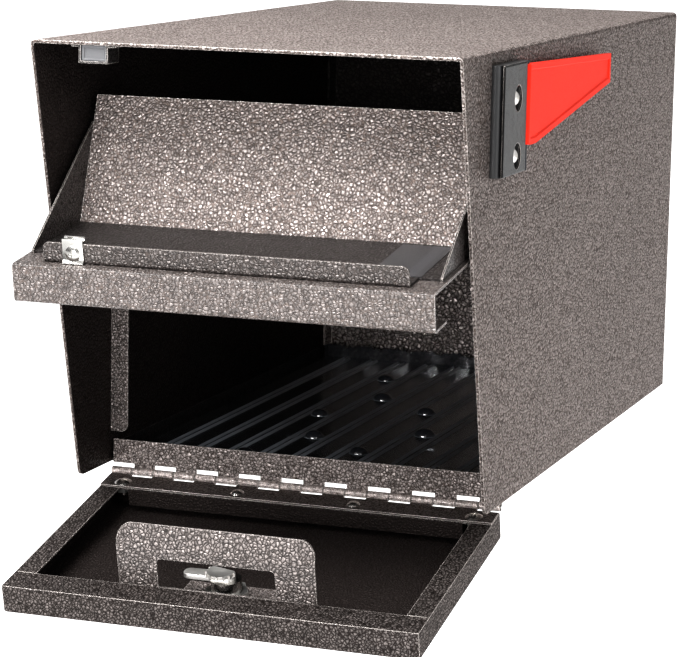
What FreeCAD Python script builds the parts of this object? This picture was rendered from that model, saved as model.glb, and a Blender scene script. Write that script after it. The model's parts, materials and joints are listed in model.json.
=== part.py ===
"""Curbside locking parcel drop box: tilting upper hopper, locked lower door, side flag.

Frame: millimetres, +Z up, +Y to the back, +X to the right seen from the front.
Origin: centre of the four base bolts, on the underside of the floor pan.
Both doors are modelled open, resting on their stops.
"""
import FreeCAD, Part
import Sketcher
import math
import os

Vec = FreeCAD.Vector
doc = FreeCAD.newDocument("parcel_drop_box")

# ---------------------------------------------------------------- driving sizes
SIZES = {
    # housing
    "body_width": 273.0, "body_height": 283.0, "body_depth": 538.0, "front_rake": 69.4,
    "shell_sheet": 2.0, "bend_radius": 3.0, "toe_radius": 6.0, "door_setback": 118.0,
    "pan_sheet": 1.5, "back_flange": 15.0, "floor_flange": 12.0, "sill_height": 15.0,
    "bolt_spacing_x": 100.0, "bolt_spacing_y": 200.0, "bolt_hole_radius": 3.5,
    "jamb_width": 12.0, "jamb_leg": 12.0, "jamb_bottom": 20.5, "jamb_corner": 5.0,
    "rail_height": 14.5, "rail_below_pivot": 5.5, "rail_depth": 12.5,
    "liner_sheet": 1.2, "liner_rib": 3.0, "liner_rib_pitch": 22.5,
    "liner_back": 24.0, "liner_side": 7.0, "liner_gap": 1.0,
    "strap_width": 19.0, "strap_drop": 11.0, "strap_depth": 16.0, "strap_sheet": 1.2,
    "strap_inset": 2.0, "strap_foot": 5.0,
    # piano hinge of the lower door
    "hinge_drop": 5.5, "hinge_setback": 1.1, "leaf_sheet": 1.2, "knuckle_radius": 2.4,
    "hinge_pin_radius": 1.2, "pin_clearance": 0.05, "knuckle_count": 18.0, "knuckle_gap": 0.3,
    "slot_height": 2.5, "leaf_reach": 20.5,
    # lower door
    "side_gap": 1.5, "door_above_rail": 1.9, "door_thickness": 18.5, "door_sheet": 1.2,
    "door_open_angle": 102.6, "door_heel": 3.2, "free_flange": 20.0, "side_flange": 13.75,
    "heel_lip": 12.0, "heel_lip_inset": 19.5, "seam": 0.3, "door_corner": 2.4,
    "hinge_bolt_inset": 13.5, "hinge_bolt_reach": 14.0, "hinge_bolt_radius": 2.5,
    "bolt_head_radius": 5.65, "rivet_x": 39.5, "rivet_reach": 13.5, "rivet_head_radius": 4.4,
    "head_height": 1.8, "fastener_clearance": 0.2, "nut_height": 4.0, "nut_corner": 4.6,
    "stem_past_nut": 2.0, "rivet_tail_radius": 3.7,
    # lock tongue and cam lock
    "tongue_width": 127.0, "tongue_height": 40.0, "tongue_straight": 25.0, "tongue_bend": 15.0,
    "tongue_sheet": 1.5, "tongue_foot": 12.0, "tongue_corner": 11.0, "window_width": 76.0,
    "window_height": 19.0, "window_corner": 3.0, "lock_inset": 35.0, "barrel_radius": 9.5,
    "barrel_flange": 11.5,
    "plug_radius": 6.0, "cam_gap": 0.6, "cam_sheet": 2.4, "cam_length": 26.0, "cam_width": 12.0,
    "cam_step": 2.5, "cam_slot": 3.0, "cam_hook": 5.0, "cam_eye": 6.0, "cam_eye_gap": 0.02,
    "cam_screw_radius": 4.6, "screw_head": 2.2, "barrel_rim": 1.6, "key_slot": 1.8,
    "hat_height": 8.0, "hat_length": 60.0, "hat_width": 30.0, "hat_brim": 8.0,
    "lock_nut_height": 4.5, "lock_nut_corner": 14.0,
    # hopper
    "pivot_setback": 76.0, "pivot_drop": 117.5, "hopper_tilt": 8.65,
    "plate_reach": 109.45, "plate_rise": 2.0, "plate_sheet": 1.5, "plate_heel": 8.0,
    "handle_height": 24.0, "handle_return": 22.0, "handle_bend": 2.5,
    "lip_reach": 101.5, "lip_height": 12.6, "lip_inset": 17.5, "lip_corner": 4.0,
    "tray_front": 85.2, "tray_gap": 5.2, "baffle_foot": 19.2, "baffle_length": 81.9,
    "baffle_angle": 116.6, "wing_sheet": 1.2, "wing_top": 60.8, "wing_front": 2.5,
    "ear_radius": 6.0, "stud_radius": 3.0, "stud_length": 9.5, "stud_flange_radius": 8.0,
    "bush_radius": 4.5, "bush_flange": 5.5, "bush_collar": 1.0, "fit_clearance": 0.05,
    "ring_radius": 5.0,
    "ring_sheet": 1.0, "clip_inset": 19.9, "clip_width": 13.4, "clip_sheet": 0.8, "clip_rise": 5.0,
    "clip_screw_radius": 5.0, "clip_roll": 2.2, "label_inset": 32.0, "label_width": 32.0,
    "label_length": 62.0,
    "label_sheet": 0.3,
    # flag and its holder
    "holder_front": 58.0, "holder_back": 106.5, "holder_height": 67.0, "holder_below_top": 8.0,
    "holder_depth": 7.1, "cover_sheet": 1.2, "holder_nose": 6.0, "holder_screw_radius": 4.2,
    "screw_recess": 8.0, "recess_depth": 2.5, "screw_from_back": 18.5,
    "low_screw_inset": 10.8, "high_screw_inset": 21.3, "top_lug": 1.4,
    "flag_axis_depth": 6.5, "flag_axis_gap": 3.5, "flag_pin_radius": 1.5,
    "flag_barrel_radius": 3.0, "flag_sheet": 3.0, "flag_length": 201.0, "flag_below_top": 10.0,
    "flag_height": 49.0, "flag_tip_rise": 23.5, "flag_tip_drop": 6.0, "flag_border": 6.0,
    "flag_panel": 1.6, "flag_heel": 20.0,
}
sheet = doc.addObject("Spreadsheet::Sheet", "Sizes")
for row, (alias, number) in enumerate(SIZES.items(), start=1):
    sheet.set(f"A{row}", alias)
    sheet.set(f"B{row}", str(number))
    sheet.setAlias(f"B{row}", alias)
doc.recompute()


def size(alias):
    """The driving size in the spreadsheet cell with this alias."""
    return float(getattr(sheet, alias))


def bound(expression):
    """An expression over the sheet: plain words become references to its cells."""
    words = sorted(SIZES, key=len, reverse=True)
    marks = {}
    for number, word in enumerate(words):
        if word in expression:
            marks[f"@{number}@"] = f"Sizes.{word}"
            expression = expression.replace(word, f"@{number}@")
    for mark, reference in marks.items():
        expression = expression.replace(mark, reference)
    return expression


nodes = []


def keep(label, item):
    """Names an object as a finished sub-part, written to parts/ at the end."""
    item.Label = label
    nodes.append(item)
    return item


# ---------------------------------------------------------------- primitives bound to the sheet
def block(name, lengths, corner):
    """A Part::Box: three lengths and its lowest corner, each an expression over the sheet."""
    item = doc.addObject("Part::Box", name)
    for side, expression in zip(("Length", "Width", "Height"), lengths):
        item.setExpression(side, bound(expression))
    for axis, expression in zip("xyz", corner):
        item.setExpression(f"Placement.Base.{axis}", bound(expression))
    return item


TURNS = {"z": ((0, 0, 1), 0), "x": ((0, 1, 0), 90), "y": ((1, 0, 0), -90)}


def rod(name, radius, length, start, along="z"):
    """A Part::Cylinder from start, running along one axis; sizes are expressions."""
    item = doc.addObject("Part::Cylinder", name)
    item.setExpression("Radius", bound(radius))
    item.setExpression("Height", bound(length))
    direction, angle = TURNS[along]
    item.Placement.Rotation = FreeCAD.Rotation(Vec(*direction), angle)
    for axis, expression in zip("xyz", start):
        item.setExpression(f"Placement.Base.{axis}", bound(expression))
    return item


def joined(name, items):
    item = doc.addObject("Part::MultiFuse", name)
    item.Shapes = items
    return item


def without(name, base, tools):
    item = doc.addObject("Part::Cut", name)
    item.Base = base
    item.Tool = tools[0] if len(tools) == 1 else joined(name + "_tools", tools)
    return item


# ---------------------------------------------------------------- shapes for folded sheet
def folded(points, thickness, radius, width, x_start):
    """A sheet bent along a line in the YZ plane, extruded along X.

    points are (y, z) on one face of the sheet; its thickness lies on the right of the
    direction of travel. radius is the bend radius of the inner face at every fold.
    """
    flat = [Vec(0, y, z) for y, z in points]
    runs = [(b - a).normalize() for a, b in zip(flat, flat[1:])]
    sides = [Vec(0, run.z, -run.y) for run in runs]

    def outline(offset):
        line = [flat[0] + sides[0] * offset]
        edges = []
        for number in range(1, len(runs)):
            turn = runs[number - 1].cross(runs[number]).x
            angle = runs[number - 1].getAngle(runs[number])
            bend = radius + thickness - offset if turn < 0 else radius + offset
            grip = bend * math.tan(angle / 2)
            middle = sides[number - 1] + sides[number]
            corner = flat[number] + middle * (offset / (1 + sides[number - 1].dot(sides[number])))
            start = corner - runs[number - 1] * grip
            end = corner + runs[number] * grip
            centre_side = sides[number - 1] * (1 if turn < 0 else -1)
            centre = start + centre_side * bend
            out = (corner - centre).normalize()
            edges.append(Part.LineSegment(line[-1], start).toShape())
            edges.append(Part.Arc(start, centre + out * bend, end).toShape())
            line.append(end)
        last = flat[-1] + sides[-1] * offset
        edges.append(Part.LineSegment(line[-1], last).toShape())
        return edges, line[0], last

    near, near_start, near_end = outline(0.0)
    far, far_start, far_end = outline(thickness)
    caps = [Part.LineSegment(near_start, far_start).toShape(),
            Part.LineSegment(near_end, far_end).toShape()]
    ring = Part.Wire(Part.__sortEdges__(near + far + caps))
    solid = Part.Face(ring).extrude(Vec(width, 0, 0))
    solid.translate(Vec(x_start, 0, 0))
    return solid


def edge_names(shape):
    return [(f"Edge{number}", edge) for number, edge in enumerate(shape.Edges, start=1)]


def sketch_polygon(sketch, corners, places):
    """A closed polygon whose corners are held by expressions from the sketch's origin."""
    count = len(corners)
    for number, corner in enumerate(corners):
        following = corners[(number + 1) % count]
        sketch.addGeometry(Part.LineSegment(Vec(*corner, 0), Vec(*following, 0)), False)
    for number in range(count):
        sketch.addConstraint(Sketcher.Constraint("Coincident", number, 2, (number + 1) % count, 1))
    for number, (corner, place) in enumerate(zip(corners, places)):
        for way, distance, expression in zip(("DistanceX", "DistanceY"), corner, place):
            if expression == "0":
                axis = -2 if way == "DistanceX" else -1
                sketch.addConstraint(Sketcher.Constraint("PointOnObject", number, 1, axis))
                continue
            spot = sketch.addConstraint(Sketcher.Constraint(way, -1, 1, number, 1, distance))
            sketch.setExpression(f"Constraints[{spot}]", bound(expression))


def slab(low, high):
    """A box shape between two corners."""
    return Part.makeBox(high[0] - low[0], high[1] - low[1], high[2] - low[2], Vec(*low))


def prism(points, axis, start, length):
    """A closed polygon of (first, second) axis pairs, extruded along the third axis."""
    spots = {"x": lambda p: Vec(start, p[0], p[1]),
             "y": lambda p: Vec(p[0], start, p[1]),
             "z": lambda p: Vec(p[0], p[1], start)}[axis]
    ways = {"x": Vec(length, 0, 0), "y": Vec(0, length, 0), "z": Vec(0, 0, length)}
    corners = [spots(point) for point in points]
    return Part.Face(Part.makePolygon(corners + corners[:1])).extrude(ways[axis])


def rounded(shape, radius, wanted):
    """Fillets the edges whose middle point passes the test."""
    picked = []
    for edge in shape.Edges:
        if wanted(edge.CenterOfMass, edge.tangentAt(edge.FirstParameter)):
            picked.append(edge)
    return shape.makeFillet(radius, picked)


def feature(label, shape, placement=None):
    """A finished sub-part made of a shape, placed by its body's placement."""
    item = doc.addObject("Part::Feature", label)
    item.Shape = shape.removeSplitter()
    if placement is not None:
        item.Placement = placement
    return keep(label, item)


# ---------------------------------------------------------------- reference places
half_inner = size("body_width") / 2 - size("shell_sheet")
floor_length = size("body_depth") - size("door_setback")
back_y = floor_length / 2
hood_y = back_y - size("body_depth")
floor_front = -floor_length / 2
under_hood = size("body_height") - size("shell_sheet")
sill_face = floor_front - size("leaf_sheet")
hinge_y = sill_face - size("hinge_setback")
hinge_z = -size("hinge_drop")
door_half = half_inner - size("side_gap")
pivot_z = size("body_height") - size("pivot_drop")
rail_top = pivot_z - size("rail_below_pivot")
door_reach = rail_top + size("door_above_rail") + size("hinge_drop")
lock_reach = door_reach - size("lock_inset")
lip_half = door_half - size("lip_inset")
tray_half = half_inner - size("tray_gap")
clip_x = -(lip_half - size("clip_inset"))
FLOOR_LENGTH = "(body_depth - door_setback)"
BACK = f"({FLOOR_LENGTH} / 2)"
HOOD = f"({BACK} - body_depth)"
FLOOR_FRONT = f"(0 - {FLOOR_LENGTH} / 2)"
DOOR_HALF = "(body_width / 2 - shell_sheet - side_gap)"
HALF = "(body_width / 2 - shell_sheet)"
HINGE_Y = f"({FLOOR_FRONT} - leaf_sheet - hinge_setback)"

door_place = FreeCAD.Placement(Vec(0, hinge_y, hinge_z),
                               FreeCAD.Rotation(Vec(1, 0, 0), size("door_open_angle")))
pivot_y = hood_y + size("pivot_setback")
hopper_place = FreeCAD.Placement(Vec(0, pivot_y, pivot_z),
                                 FreeCAD.Rotation(Vec(1, 0, 0), size("hopper_tilt")))


# ================================================================ housing
def outer_shell():
    """Top and both sides, one wrapped sheet; the front edges of the sides are raked."""
    body = doc.addObject("PartDesign::Body", "shell_body")
    planes = {item.Role: item for item in body.Origin.OriginFeatures}
    wide, tall = size("body_width") / 2, size("body_height")
    section = body.newObject("Sketcher::SketchObject", "shell_section")
    section.AttachmentSupport = (planes["XZ_Plane"], [""])
    section.MapMode = "FlatFace"
    corners = [(-wide, 0), (-wide, tall), (wide, tall), (wide, 0), (half_inner, 0),
               (half_inner, under_hood), (-half_inner, under_hood), (-half_inner, 0)]
    places = [("-body_width / 2", "0"), ("-body_width / 2", "body_height"),
              ("body_width / 2", "body_height"), ("body_width / 2", "0"),
              (HALF, "0"), (HALF, "body_height - shell_sheet"),
              (f"0 - {HALF}", "body_height - shell_sheet"), (f"0 - {HALF}", "0")]
    sketch_polygon(section, corners, places)
    pad = body.newObject("PartDesign::Pad", "shell_pad")
    pad.Profile = section
    pad.setExpression("Length", bound("body_depth"))
    body.setExpression("Placement.Base.y", bound(BACK))
    side = body.newObject("Sketcher::SketchObject", "rake_section")
    side.AttachmentSupport = (planes["YZ_Plane"], [""])
    side.MapMode = "FlatFace"
    first = -size("body_depth")
    shift = "0 - body_depth"
    over = 10.0
    corners = [(first - over, -over), (first + size("front_rake") * (1 + over / tall), -over),
               (first, tall), (first - over, tall)]
    places = [(f"{shift} - {over}", f"-{over}"),
              (f"{shift} + front_rake * (1 + {over} / body_height)", f"-{over}"),
              (shift, "body_height"), (f"{shift} - {over}", "body_height")]
    sketch_polygon(side, corners, places)
    rake = body.newObject("PartDesign::Pocket", "rake_cut")
    rake.Profile = side
    rake.Type = 1
    rake.Midplane = True
    doc.recompute()
    outer = [name for name, edge in edge_names(rake.Shape)
             if abs(edge.CenterOfMass.z - tall) < 0.1
             and abs(abs(edge.CenterOfMass.x) - wide) < 0.1]
    bends = body.newObject("PartDesign::Fillet", "outer_bends")
    bends.Base = (rake, outer)
    bends.setExpression("Radius", bound("bend_radius"))
    doc.recompute()
    inner = [name for name, edge in edge_names(bends.Shape)
             if abs(edge.CenterOfMass.z - under_hood) < 0.1
             and abs(abs(edge.CenterOfMass.x) - half_inner) < 0.1]
    hollow = body.newObject("PartDesign::Fillet", "inner_bends")
    hollow.Base = (bends, inner)
    hollow.setExpression("Radius", bound("bend_radius - shell_sheet"))
    doc.recompute()
    toes = [name for name, edge in edge_names(hollow.Shape)
            if abs(edge.CenterOfMass.z) < 0.1 and edge.Length < 2 * size("shell_sheet")
            and edge.CenterOfMass.y < first + size("front_rake") + 1]
    toe = body.newObject("PartDesign::Fillet", "toe_corners")
    toe.Base = (hollow, toes)
    toe.setExpression("Radius", bound("toe_radius"))
    body.Tip = toe
    return keep("outer_shell", body)


def back_panel():
    """Rear plate inside the wrap, with four flanges turned forward."""
    plate = block("back_plate", (f"2 * {HALF}", "pan_sheet", "body_height - shell_sheet"),
                  (f"0 - {HALF}", f"{BACK} - pan_sheet", "0"))
    inset = "4 * bend_radius"
    flange_y = f"{BACK} - pan_sheet - back_flange"
    tall = f"body_height - shell_sheet - 2 * {inset}"
    left = block("back_left", ("pan_sheet", "back_flange", tall),
                 (f"0 - {HALF}", flange_y, inset))
    right = block("back_right", ("pan_sheet", "back_flange", tall),
                  (f"{HALF} - pan_sheet", flange_y, inset))
    top = block("back_top", (f"2 * {HALF} - 2 * {inset}", "back_flange", "pan_sheet"),
                (f"0 - {HALF} + {inset}", flange_y, "body_height - shell_sheet - pan_sheet"))
    whole = joined("back_whole", [plate, left, right, top])
    doc.recompute()
    corners = doc.addObject("Part::Fillet", "back_corners")
    corners.Base = whole
    radius = size("bend_radius") + 1
    picked = []
    for number, edge in enumerate(whole.Shape.Edges, start=1):
        middle = edge.CenterOfMass
        if abs(middle.z - under_hood) < 0.1 and abs(abs(middle.x) - half_inner) < 0.1:
            picked.append((number, radius, radius))
    corners.Edges = picked
    return keep("back_panel", corners)


def floor_pan():
    """Floor with turned-up flanges and the four holes for the base bolts."""
    inside = f"({FLOOR_LENGTH} - pan_sheet)"
    plate = block("floor_plate", (f"2 * {HALF}", inside, "pan_sheet"),
                  (f"0 - {HALF}", FLOOR_FRONT, "0"))
    relief = "(4 * bend_radius)"
    length = f"{FLOOR_LENGTH} - pan_sheet - back_flange - 2 * {relief}"
    sides = []
    for name, x in (("floor_left", f"0 - {HALF}"), ("floor_right", f"{HALF} - pan_sheet")):
        sides.append(block(name, ("pan_sheet", length, "floor_flange"),
                           (x, f"{FLOOR_FRONT} + {relief}", "0")))
    front = block("floor_front", (f"2 * {HALF} - 2 * pan_sheet", "pan_sheet", "sill_height - 1"),
                  (f"0 - {HALF} + pan_sheet", FLOOR_FRONT, "0"))
    holes = []
    for number, (x_sign, y_sign) in enumerate(((-1, -1), (1, -1), (1, 1), (-1, 1))):
        holes.append(rod(f"base_hole_{number}", "bolt_hole_radius", "3 * pan_sheet",
                         (f"{x_sign} * bolt_spacing_x / 2", f"{y_sign} * bolt_spacing_y / 2",
                          "0 - pan_sheet")))
    return keep("floor_pan", without("floor_drilled", joined("floor_whole", [plate, front] + sides),
                                     holes))


def hinge_leaf(own, x_half):
    """One leaf of the piano hinge, in its own frame: pin along X at the origin, leaf upwards.

    own is 0 or 1: which of the alternating knuckles this leaf carries.
    """
    outer, inner = size("knuckle_radius"), size("hinge_pin_radius") + size("pin_clearance")
    pitch = 2 * x_half / int(size("knuckle_count"))
    thick, setback = size("leaf_sheet"), size("hinge_setback")
    root = outer + size("slot_height")
    top = size("leaf_reach")
    parts = [slab((-x_half, setback, root), (x_half, setback + thick, top))]
    for number in range(own, int(size("knuckle_count")), 2):
        start = -x_half + number * pitch + size("knuckle_gap") / 2
        length = pitch - size("knuckle_gap")
        parts.append(Part.makeCylinder(outer, length, Vec(start, 0, 0), Vec(1, 0, 0)))
        parts.append(slab((start, setback, 0), (start + length, setback + thick, root)))
    leaf = parts[0].multiFuse(parts[1:])
    bore = Part.makeCylinder(inner, 2 * x_half + 2, Vec(-x_half - 1, 0, 0), Vec(1, 0, 0))
    return leaf.cut(bore)


def jamb(label, sign):
    """Door jamb: a flange the door closes against and a leg welded to the side."""
    sheet_t = size("pan_sheet")
    top = rail_top - 2 * sheet_t
    face = hinge_y
    inner_x = half_inner - size("jamb_width")
    flange = slab((inner_x, face, size("jamb_bottom")), (half_inner, face + sheet_t, top))
    flange = rounded(flange, size("jamb_corner"),
                     lambda middle, way: abs(way.y) > 0.9 and abs(middle.x - inner_x) < 0.1
                     and abs(middle.z - size("jamb_bottom")) < 0.1)
    leg = slab((half_inner - sheet_t, face, size("jamb_bottom")),
               (half_inner, face + size("jamb_leg"), top))
    shape = flange.fuse(leg)
    if sign < 0:
        shape = shape.mirror(Vec(0, 0, 0), Vec(1, 0, 0))
    return feature(label, shape)


def cross_rail():
    """Rail between the two openings: front wall, top flange and a small hem below."""
    sheet_t = size("pan_sheet")
    rear = hinge_y
    bottom = rail_top - size("rail_height")
    path = [(rear - sheet_t, bottom), (rear - sheet_t, rail_top),
            (rear - sheet_t + size("rail_depth"), rail_top)]
    gap = 0.2
    return feature("cross_rail", folded(path, sheet_t, sheet_t / 2, 2 * (half_inner - gap),
                                        -half_inner + gap))


def clear_liner():
    """Clear ribbed mat on the floor with a corrugated upstand against the back."""
    thick, gap = size("liner_sheet"), size("liner_gap")
    x_half = half_inner - size("pan_sheet") - gap
    front = floor_front + size("pan_sheet") + gap
    back = back_y - size("pan_sheet") - size("back_flange") - gap
    base_z = size("pan_sheet")
    parts = [slab((-x_half, front, base_z), (x_half, back, base_z + thick)),
             slab((-x_half, back - thick, base_z), (x_half, back, base_z + size("liner_back"))),
             slab((-x_half, front, base_z), (-x_half + thick, back, base_z + size("liner_side"))),
             slab((x_half - thick, front, base_z), (x_half, back, base_z + size("liner_side")))]
    pitch = size("liner_rib_pitch")
    half_count = int((x_half - pitch / 2) / pitch)
    for number in range(-half_count, half_count + 1):
        x = number * pitch
        rib = Part.makeCylinder(size("liner_rib"), back - front - thick,
                                Vec(x, front, base_z + thick / 2), Vec(0, 1, 0))
        post = Part.makeCylinder(size("liner_rib"), size("liner_back"), Vec(x, back - thick, base_z))
        above = slab((x - pitch / 2, front, base_z),
                     (x + pitch / 2, back, base_z + size("liner_back")))
        parts.append(rib.fuse(post).common(above))
    return feature("clear_liner", parts[0].multiFuse(parts[1:]))


def hood_strap():
    """Small strap under the hood with the bumper block it holds."""
    x, wide, thick = clip_x, size("strap_width"), size("strap_sheet")
    front = hood_y + size("strap_inset")
    depth, drop, foot = size("strap_depth"), size("strap_drop"), size("strap_foot")
    top, low = under_hood, under_hood - drop
    outline = [(x - wide / 2 - foot, top), (x - wide / 2 - foot, top - thick),
               (x - wide / 2, top - thick), (x - wide / 2, low), (x + wide / 2, low),
               (x + wide / 2, top - thick), (x + wide / 2 + foot, top - thick),
               (x + wide / 2 + foot, top), (x + wide / 2 - thick, top),
               (x + wide / 2 - thick, low + thick), (x - wide / 2 + thick, low + thick),
               (x - wide / 2 + thick, top)]
    feature("hood_strap", prism(outline, "y", front, depth))
    inside = wide / 2 - thick
    bumper = slab((x - inside, front + 1, low + thick), (x + inside, front + depth - 1, top))
    feature("hood_bumper", bumper)


outer_shell()
back_panel()
floor_pan()
sill = hinge_leaf(1, door_half)
sill_top = size("sill_height") - hinge_z
sill = sill.fuse(slab((-door_half, size("hinge_setback"), size("leaf_reach") - 1),
                      (door_half, size("hinge_setback") + size("leaf_sheet"), sill_top)))
sill = sill.common(slab((-door_half, -20, -20), (door_half, 20, sill_top)))
feature("sill_hinge_leaf", sill, FreeCAD.Placement(Vec(0, hinge_y, hinge_z), FreeCAD.Rotation()))
keep("hinge_pin", rod("hinge_pin_rod", "hinge_pin_radius", f"2 * {DOOR_HALF} + 2 * knuckle_gap",
                      (f"0 - {DOOR_HALF} - knuckle_gap", HINGE_Y, "0 - hinge_drop"), "x"))
jamb("left_jamb", -1)
jamb("right_jamb", 1)
cross_rail()
clear_liner()
hood_strap()

# pivot studs welded inside both sides, with a retaining ring each
PIVOT = (f"{HOOD} + pivot_setback", "body_height - pivot_drop")
studs, rings = [], []
for side, sign in (("left", -1), ("right", 1)):
    reach = "(pan_sheet + stud_length)"
    inner = f"({HALF} - {reach})"
    start = inner if sign > 0 else f"0 - {HALF}"
    shaft = rod(f"stud_shaft_{side}", "stud_radius", reach, (start, *PIVOT), "x")
    flange_x = f"{HALF} - pan_sheet" if sign > 0 else f"0 - {HALF}"
    flange = rod(f"stud_flange_{side}", "stud_flange_radius", "pan_sheet", (flange_x, *PIVOT), "x")
    studs += [shaft, flange]
    ring_x = f"{inner} + 1" if sign > 0 else f"0 - {inner} - 1 - ring_sheet"
    disc = rod(f"ring_disc_{side}", "ring_radius", "ring_sheet", (ring_x, *PIVOT), "x")
    eye = rod(f"ring_eye_{side}", "stud_radius", "ring_sheet", (ring_x, *PIVOT), "x")
    rings.append(without(f"ring_{side}", disc, [eye]))
keep("pivot_studs", joined("studs_both", studs))
keep("pivot_rings", joined("rings_both", rings))


# ================================================================ lower door (own frame: hinge at 0)
def door_pan():
    """Folded tray door: outer skin, four walls and return flanges all round."""
    wide, heel, reach = door_half, size("door_heel"), door_reach
    thin, corner = size("door_sheet"), size("door_corner")
    face = -size("hinge_setback") - size("leaf_sheet")
    skin = face - size("door_thickness")
    outer = slab((-wide, skin, heel), (wide, face, reach))
    outer = rounded(outer, corner, lambda middle, way: abs(middle.y - skin) < 0.1)
    hollow = slab((-wide + thin, skin + thin, heel + thin), (wide - thin, face + 1, reach - thin))
    hollow = rounded(hollow, corner - thin, lambda middle, way: abs(middle.y - skin - thin) < 0.1)
    tray = outer.cut(hollow)
    free_in = reach - size("free_flange")
    leaf_top = size("leaf_reach")
    side_in = wide - size("side_flange")
    under = face - thin
    flanges = [slab((-wide + thin / 2, under, free_in), (wide - thin / 2, face, reach - thin / 2)),
               slab((-wide + thin / 2, under, heel + thin / 2), (wide - thin / 2, face, leaf_top))]
    for sign in (-1, 1):
        inner_x, outer_x = sorted((sign * side_in, sign * (wide - thin / 2)))
        flanges.append(slab((inner_x, under, leaf_top + size("seam")),
                            (outer_x, face, free_in - size("seam"))))
    heel_half = wide - size("heel_lip_inset")
    flanges.append(slab((-heel_half, face - size("heel_lip"), leaf_top - thin),
                        (heel_half, face, leaf_top)))
    whole = tray.multiFuse(flanges)
    lock_hole = Part.makeCylinder(size("barrel_radius"), 4 * thin,
                                  Vec(0, skin - thin, lock_reach), Vec(0, 1, 0))
    drills = [lock_hole] + hinge_drills()
    return whole.cut(Part.Compound(drills))


def fastener_spots():
    """The places of the two bolts and the two rivets along the hinge leaf."""
    bolt_x = door_half - size("hinge_bolt_inset")
    bolts = [(sign * bolt_x, size("hinge_bolt_reach")) for sign in (-1, 1)]
    rivets = [(sign * size("rivet_x"), size("rivet_reach")) for sign in (-1, 1)]
    return bolts, rivets


def hinge_drills():
    bolts, rivets = fastener_spots()
    radius = size("hinge_bolt_radius") + size("fastener_clearance")
    deep = size("hinge_setback") + size("leaf_sheet") + 3 * size("door_sheet")
    return [Part.makeCylinder(radius, deep, Vec(x, -deep, z), Vec(0, 1, 0))
            for x, z in bolts + rivets]


def hexagon(x, z, corner):
    """The six corners of a nut."""
    return [(x + corner * math.cos(math.radians(60 * k)),
             z + corner * math.sin(math.radians(60 * k))) for k in range(6)]


def domed(radius, height, x, y, z):
    """A low domed head standing on the face at y, towards +Y."""
    ball = (radius ** 2 + height ** 2) / (2 * height)
    sphere = Part.makeSphere(ball, Vec(x, y + height - ball, z))
    return sphere.common(Part.makeCylinder(radius, height, Vec(x, y, z), Vec(0, 1, 0)))


def cross_recess(x, y, z, span, deep):
    """The cross recess of a screw head, cut from the face at y inwards."""
    arm = span / 5
    flat = slab((x - span / 2, y - deep, z - arm / 2), (x + span / 2, y + 1, z + arm / 2))
    tall = slab((x - arm / 2, y - deep, z - span / 2), (x + arm / 2, y + 1, z + span / 2))
    return flat.fuse(tall)


def hinge_fasteners():
    bolts, rivets = fastener_spots()
    top = -size("hinge_setback")
    under = top - size("leaf_sheet") - size("door_sheet")
    shank, tall = size("hinge_bolt_radius"), size("head_height")
    bolt_shapes, nut_shapes, rivet_shapes = [], [], []
    nut_height = size("nut_height")
    stem_length = top - under + nut_height + size("stem_past_nut")
    stem_start = under - nut_height - size("stem_past_nut")
    for x, z in bolts:
        head = domed(size("bolt_head_radius"), tall, x, top, z)
        stem = Part.makeCylinder(shank, stem_length, Vec(x, stem_start, z), Vec(0, 1, 0))
        bolt = head.fuse(stem)
        bolt_shapes.append(bolt.cut(cross_recess(x, top + tall, z, size("bolt_head_radius"), tall)))
        nut = prism(hexagon(x, z, size("nut_corner")), "y", under - nut_height, nut_height)
        hole = Part.makeCylinder(shank, nut_height, Vec(x, under - nut_height, z), Vec(0, 1, 0))
        nut_shapes.append(nut.cut(hole))
    for x, z in rivets:
        head = domed(size("rivet_head_radius"), tall, x, top, z)
        tail = domed(size("rivet_tail_radius"), tall, x, 0, 0)
        tail = tail.mirror(Vec(0, 0, 0), Vec(0, 1, 0))
        tail.translate(Vec(0, under, z))
        stem = Part.makeCylinder(shank, top - under, Vec(x, under, z), Vec(0, 1, 0))
        rivet_shapes.append(head.multiFuse([stem, tail]))
    feature("hinge_bolts", Part.Compound(bolt_shapes), door_place)
    feature("hinge_bolt_nuts", Part.Compound(nut_shapes), door_place)
    feature("hinge_rivets", Part.Compound(rivet_shapes), door_place)


def lock_tongue():
    """Bracket that tucks behind the cross rail: foot, window and a bent tip."""
    face = -size("hinge_setback") - size("leaf_sheet")
    thick, wide = size("tongue_sheet"), size("tongue_width")
    outer_z = door_reach - size("free_flange")
    bend = math.radians(size("tongue_bend"))
    tip = size("tongue_height") - size("tongue_straight")
    foot_y = face - size("door_sheet")
    knee = face + size("tongue_straight")
    path = [(foot_y, outer_z + size("tongue_foot")), (foot_y, outer_z - thick),
            (knee, outer_z - thick),
            (knee + tip * math.cos(bend), outer_z - thick - tip * math.sin(bend))]
    shape = tongue_strip(path, thick, wide)
    end = face + size("tongue_height")
    low, high = outer_z - tip, outer_z + 2 * size("tongue_foot")
    window_end = face + size("window_height")
    blank = slab((-wide / 2, foot_y - 2 * thick, low), (wide / 2, end, high))
    blank = rounded(blank, size("tongue_corner"),
                    lambda middle, way: abs(way.z) > 0.9 and abs(middle.y - end) < 0.1)
    half = size("window_width") / 2
    window = slab((-half, face, low), (half, window_end, outer_z))
    window = rounded(window, size("window_corner"),
                     lambda middle, way: abs(way.z) > 0.9 and abs(middle.y - window_end) < 0.1)
    return shape.common(blank).cut(window)


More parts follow.
